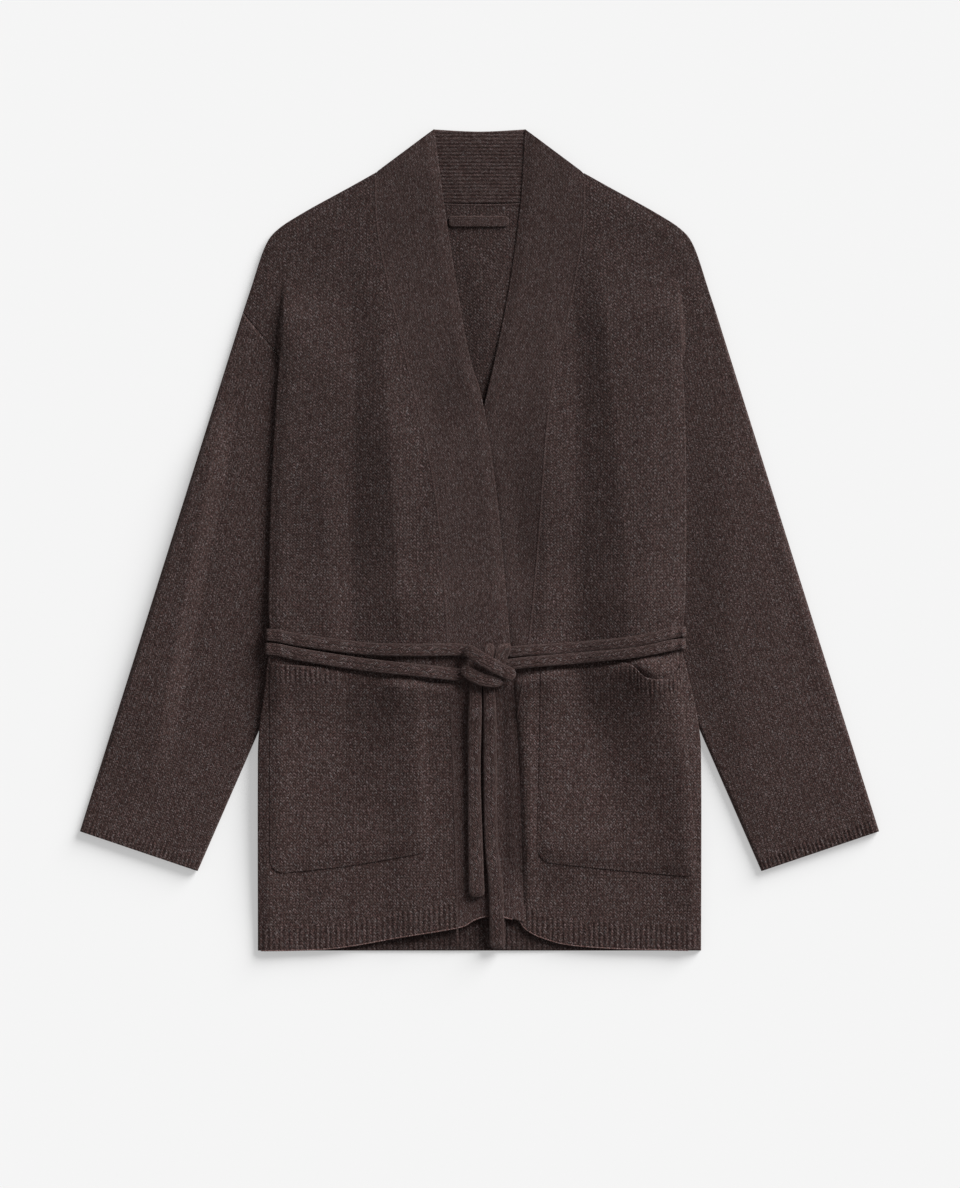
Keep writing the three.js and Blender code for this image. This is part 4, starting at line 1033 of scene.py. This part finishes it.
# Noise over the knit UV map: how often it changes along x and y, and its detail
PATCHES = ((100 / 9, 100 / 7, 1), 2.0)
FIBRES = ((165, 150, 1), 2.0)
UNEVEN = dict(column=1.8, row=-1.5)  # how far the patches shift the stitches


def make_knit(name, wale, course, shade=1.0, depth=1.0, tilt=0.75, painted_falloff=None):
    """A material of melange yarn in stitches, which follow the knit UV map.

    wale and course are the width and height of a stitch, and tilt is the slant of its two legs.
    The last argument is two rows of a height on the garment and a tone, between which the yarn is
    painted paler: painted light that falls off across the garment.
    """
    material = bpy.data.materials.new(name)
    material.use_nodes = True
    tree = material.node_tree
    tree.nodes.clear()

    def add(kind):
        return tree.nodes.new("ShaderNode" + kind)

    def link(value, socket):
        """Gives a socket another node's output, or a number."""
        if isinstance(value, (int, float)):
            socket.default_value = value
        else:
            tree.links.new(value, socket)

    def calc(operation, *values, clamp=False):
        node = add("Math")
        node.operation = operation
        node.use_clamp = clamp
        for socket, value in zip(node.inputs, values):
            link(value, socket)
        return node.outputs[0]

    def plus(a, b):
        return calc("ADD", a, b)

    def times(a, b):
        return calc("MULTIPLY", a, b)

    def multiplier(colour, factor):
        """A node that multiplies a colour by its input B, as far as the factor says."""
        node = add("Mix")
        node.data_type = "RGBA"
        node.blend_type = "MULTIPLY"
        link(factor, node.inputs[0])
        link(colour, node.inputs["A"])
        return node

    def noise(uv, scale, detail):
        place = add("Mapping")
        place.inputs["Scale"].default_value = scale
        link(uv.outputs[0], place.inputs["Vector"])
        node = add("TexNoise")
        node.noise_dimensions = "3D"
        fill(node, {"Scale": 1.0, "Detail": detail})
        link(place.outputs[0], node.inputs["Vector"])
        return node.outputs[0]

    def spread(middle, *parts):
        """middle plus each part's distance from a half, times its share."""
        total = middle
        for value, share in parts:
            total = plus(times(calc("SUBTRACT", value, 0.5), share), total)
        return total

    uv = add("UVMap")
    uv.uv_map = "knit"
    parts = add("SeparateXYZ")
    link(uv.outputs[0], parts.inputs[0])
    patch = noise(uv, *PATCHES)
    uneven = calc("SUBTRACT", patch, 0.5)
    column, row = (
        plus(times(place, 1 / UV_SCALE / size), times(uneven, shift))
        for place, size, shift in (
            (parts.outputs[0], wale, UNEVEN["column"]), (parts.outputs[1], course, UNEVEN["row"]),
        )
    )
    off_centre = calc("ABSOLUTE", calc("SUBTRACT", calc("FRACT", column), 0.5))
    leg = times(off_centre, 2.0)
    slanted = plus(row, times(leg, tilt))
    turn = times(calc("FRACT", slanted), math.pi)
    across_leg = calc("SINE", times(leg, math.pi))
    plump = plus(times(leg, -0.5), 0.75)
    profile = plus(times(across_leg, 0.35), plump)
    stitch = times(calc("SINE", turn), profile)
    # one random shade for each small part of a stitch
    cell = add("CombineXYZ")
    link(calc("FLOOR", times(column, 3.0)), cell.inputs[0])
    link(calc("FLOOR", times(slanted, 3.0)), cell.inputs[1])
    random = add("TexWhiteNoise")
    random.noise_dimensions = "2D"
    link(cell.outputs[0], random.inputs["Vector"])
    fibre = noise(uv, *FIBRES)
    tint = add("SeparateColor")
    link(random.outputs["Color"], tint.inputs[0])
    mix = spread(0.5, (random.outputs["Value"], 0.74), (fibre, 0.5), (patch, 0.06))
    tones = add("ValToRGB")
    elements = tones.color_ramp.elements
    for place, _ in YARN_TONES[1:-1]:
        elements.new(place)
    for element, (place, tone) in zip(elements, YARN_TONES):
        element.position = place
        element.color = [c * shade for c in linear(*tone)[:3]] + [1]
    link(mix, tones.inputs[0])
    redness = calc("MULTIPLY", calc("SUBTRACT", tint.outputs[1], 0.3), 0.8, clamp=True)
    red = multiplier(tones.outputs[0], redness)
    red.inputs["B"].default_value = REDDER
    shaded = multiplier(red.outputs["Result"], 1.0)
    # painted shade: the yarn is darkened in the hollows between the stitches' legs
    light = plus(times(stitch, 0.9 * depth), 1 - 0.62 * depth)
    # painted light: a tone that pales the yarn down the garment, as light that falls off would
    if painted_falloff:
        (high, high_tone), (low, low_tone) = painted_falloff
        painted_falloff_ramp = add("MapRange")
        painted_falloff_ramp.interpolation_type = "SMOOTHSTEP"
        link(parts.outputs[1], painted_falloff_ramp.inputs["Value"])
        fill(painted_falloff_ramp, {"From Min": low * UV_SCALE, "From Max": high * UV_SCALE,
                     "To Min": low_tone, "To Max": high_tone})
        light = times(light, painted_falloff_ramp.outputs[0])
    grey = add("CombineColor")
    for i in range(3):
        link(light, grey.inputs[i])
    link(grey.outputs[0], shaded.inputs["B"])
    bump_node = add("Bump")
    fill(bump_node, {"Strength": 0.8 * depth, "Distance": 0.0007})
    height = plus(times(stitch, 0.5), times(fibre, 0.35))
    link(height, bump_node.inputs["Height"])
    shader = add("BsdfPrincipled")
    fill(shader, {
        "Roughness": 0.95, "Specular IOR Level": 0.25, "Sheen Weight": 0.25,
        "Sheen Roughness": 0.6, "Sheen Tint": linear(150, 125, 118),
    })
    link(shaded.outputs["Result"], shader.inputs["Base Color"])
    link(bump_node.outputs[0], shader.inputs["Normal"])
    out = add("OutputMaterial")
    link(shader.outputs[0], out.inputs[0])
    return material


# The pieces
front_right, front_left = make_front("front_right", -1), make_front("front_left", 1)
back, neckband = make_back(), make_neckband()
sleeve_right, sleeve_left = make_sleeve("sleeve_right", -1), make_sleeve("sleeve_left", 1)
pockets = [make_pocket(name, **facts) for name, facts in POCKETS.items()]
runs = [make_run(name, **facts) for name, facts in RUNS.items()]
tails = [make_tail(name, rows) for name, rows in TAILS.items()]
belt_backs = [
    make_belt_back("belt_back_upper", -88.5, -85.5),
    make_belt_back("belt_back_lower", -101.5, -97.5),
]
knot = make_knot()
loop = make_hanger_loop()
seams = make_seams()
hem_highlights = make_hem_highlights()

# Painted light: the yarn is painted paler towards the hem and the cuffs, and darker at the chest, for
# light that falls off across the garment
PAINTED_FALLOFF = ((10, 0.9), (-150, 1.12))
PAINTED_FALLOFF_SLEEVE = ((-200, 1.02), (-380, 1.1))
for pieces, material in (
    ([front_right, front_left, *pockets], make_knit("body_knit", 3.1, 2.8, depth=1.2, painted_falloff=PAINTED_FALLOFF)),
    # painted shade: the back is darker than the fronts, for the shade inside the open neck
    ([back], make_knit("back_knit_painted_shade", 3.1, 2.8, shade=0.88, depth=1.2)),
    ([sleeve_right, sleeve_left], make_knit("sleeve_knit", 3.1, 2.8, depth=1.2, painted_falloff=PAINTED_FALLOFF_SLEEVE)),
    ([neckband], make_knit("band_knit", 2.5, 2.3, tilt=1.0, painted_falloff=PAINTED_FALLOFF)),
    (seams, make_knit("seam_knit", 1.3, 1.3, shade=1.1)),
    # painted highlight: a pale chain along each hem's lower edge, where the light catches it
    (hem_highlights, make_knit("hem_highlight_knit", 1.3, 1.3, shade=3.2)),
    ([loop], make_knit("loop_knit", 1.6, 1.9, shade=0.98)),
    ([*runs, *tails, *belt_backs, knot],
     make_knit("belt_knit", 2.2, 2.6, shade=1.22, depth=1.45, tilt=1.2)),
):
    for piece in pieces:
        piece.data.materials.append(material)


# Floor, light and camera
def make_floor():
    mesh = bpy.data.meshes.new("floor")
    mesh.from_pydata([(-4, -4, 0), (4, -4, 0), (4, 4, 0), (-4, 4, 0)], [], [(0, 1, 2, 3)])
    floor = put("floor", mesh)
    material = bpy.data.materials.new("paper")
    material.use_nodes = True
    shader = material.node_tree.nodes["Principled BSDF"]
    fill(shader, {
        "Base Color": (0.5, 0.5, 0.5, 1), "Emission Color": (1, 1, 1, 1),
        "Emission Strength": 0.36, "Roughness": 0.9, "Specular IOR Level": 0.1,
    })
    floor.data.materials.append(material)


def make_sun(name, toward, strength, spread):
    """A distant light from the direction toward, spread over an angle in degrees."""
    data = bpy.data.lights.new(name, "SUN")
    data.energy = strength
    data.angle = math.radians(spread)
    light = put(name, data)
    light.rotation_euler = Vector(toward).to_track_quat("Z", "Y").to_euler()


PIXEL = 0.00093  # metres of the floor in one pixel of the photograph
PHOTO_WIDTH, PHOTO_HEIGHT = 960, 1188
ORIGIN_U, ORIGIN_V = 479.5, 539.75  # the pixel over the frame's origin
CAMERA_HEIGHT = 8.0


def make_camera():
    data = bpy.data.cameras.new("camera")
    data.sensor_fit = "HORIZONTAL"
    data.sensor_width = 36
    data.lens = data.sensor_width * CAMERA_HEIGHT / (PHOTO_WIDTH * PIXEL)
    data.clip_end = 30
    camera = put("camera", data)
    x, y = PHOTO_WIDTH / 2 - ORIGIN_U, ORIGIN_V - PHOTO_HEIGHT / 2
    camera.location = (x * PIXEL, y * PIXEL, CAMERA_HEIGHT)
    scene.camera = camera


make_floor()
make_camera()
make_sun("key", (1.0, 1.05, 0.62), 6.1, 36)
world = bpy.data.worlds.new("studio")
world.use_nodes = True
fill(world.node_tree.nodes["Background"], {"Color": (1, 1, 1, 1), "Strength": 0.34})
scene.world = world
scene.view_settings.view_transform = "Standard"
scene.view_settings.look = "None"

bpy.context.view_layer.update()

for pieces, lengths, below in (
    (runs[:2], (0.205, 0.203), "pocket_right"), (runs[2:], (0.18, 0.18), "front_left"),
    (tails, (0.21, 0.258), "front_right"), (belt_backs, (0.37, 0.37), "floor"),
    ([knot], (0.14,), "front_right"),
):
    for piece, length in zip(pieces, lengths):
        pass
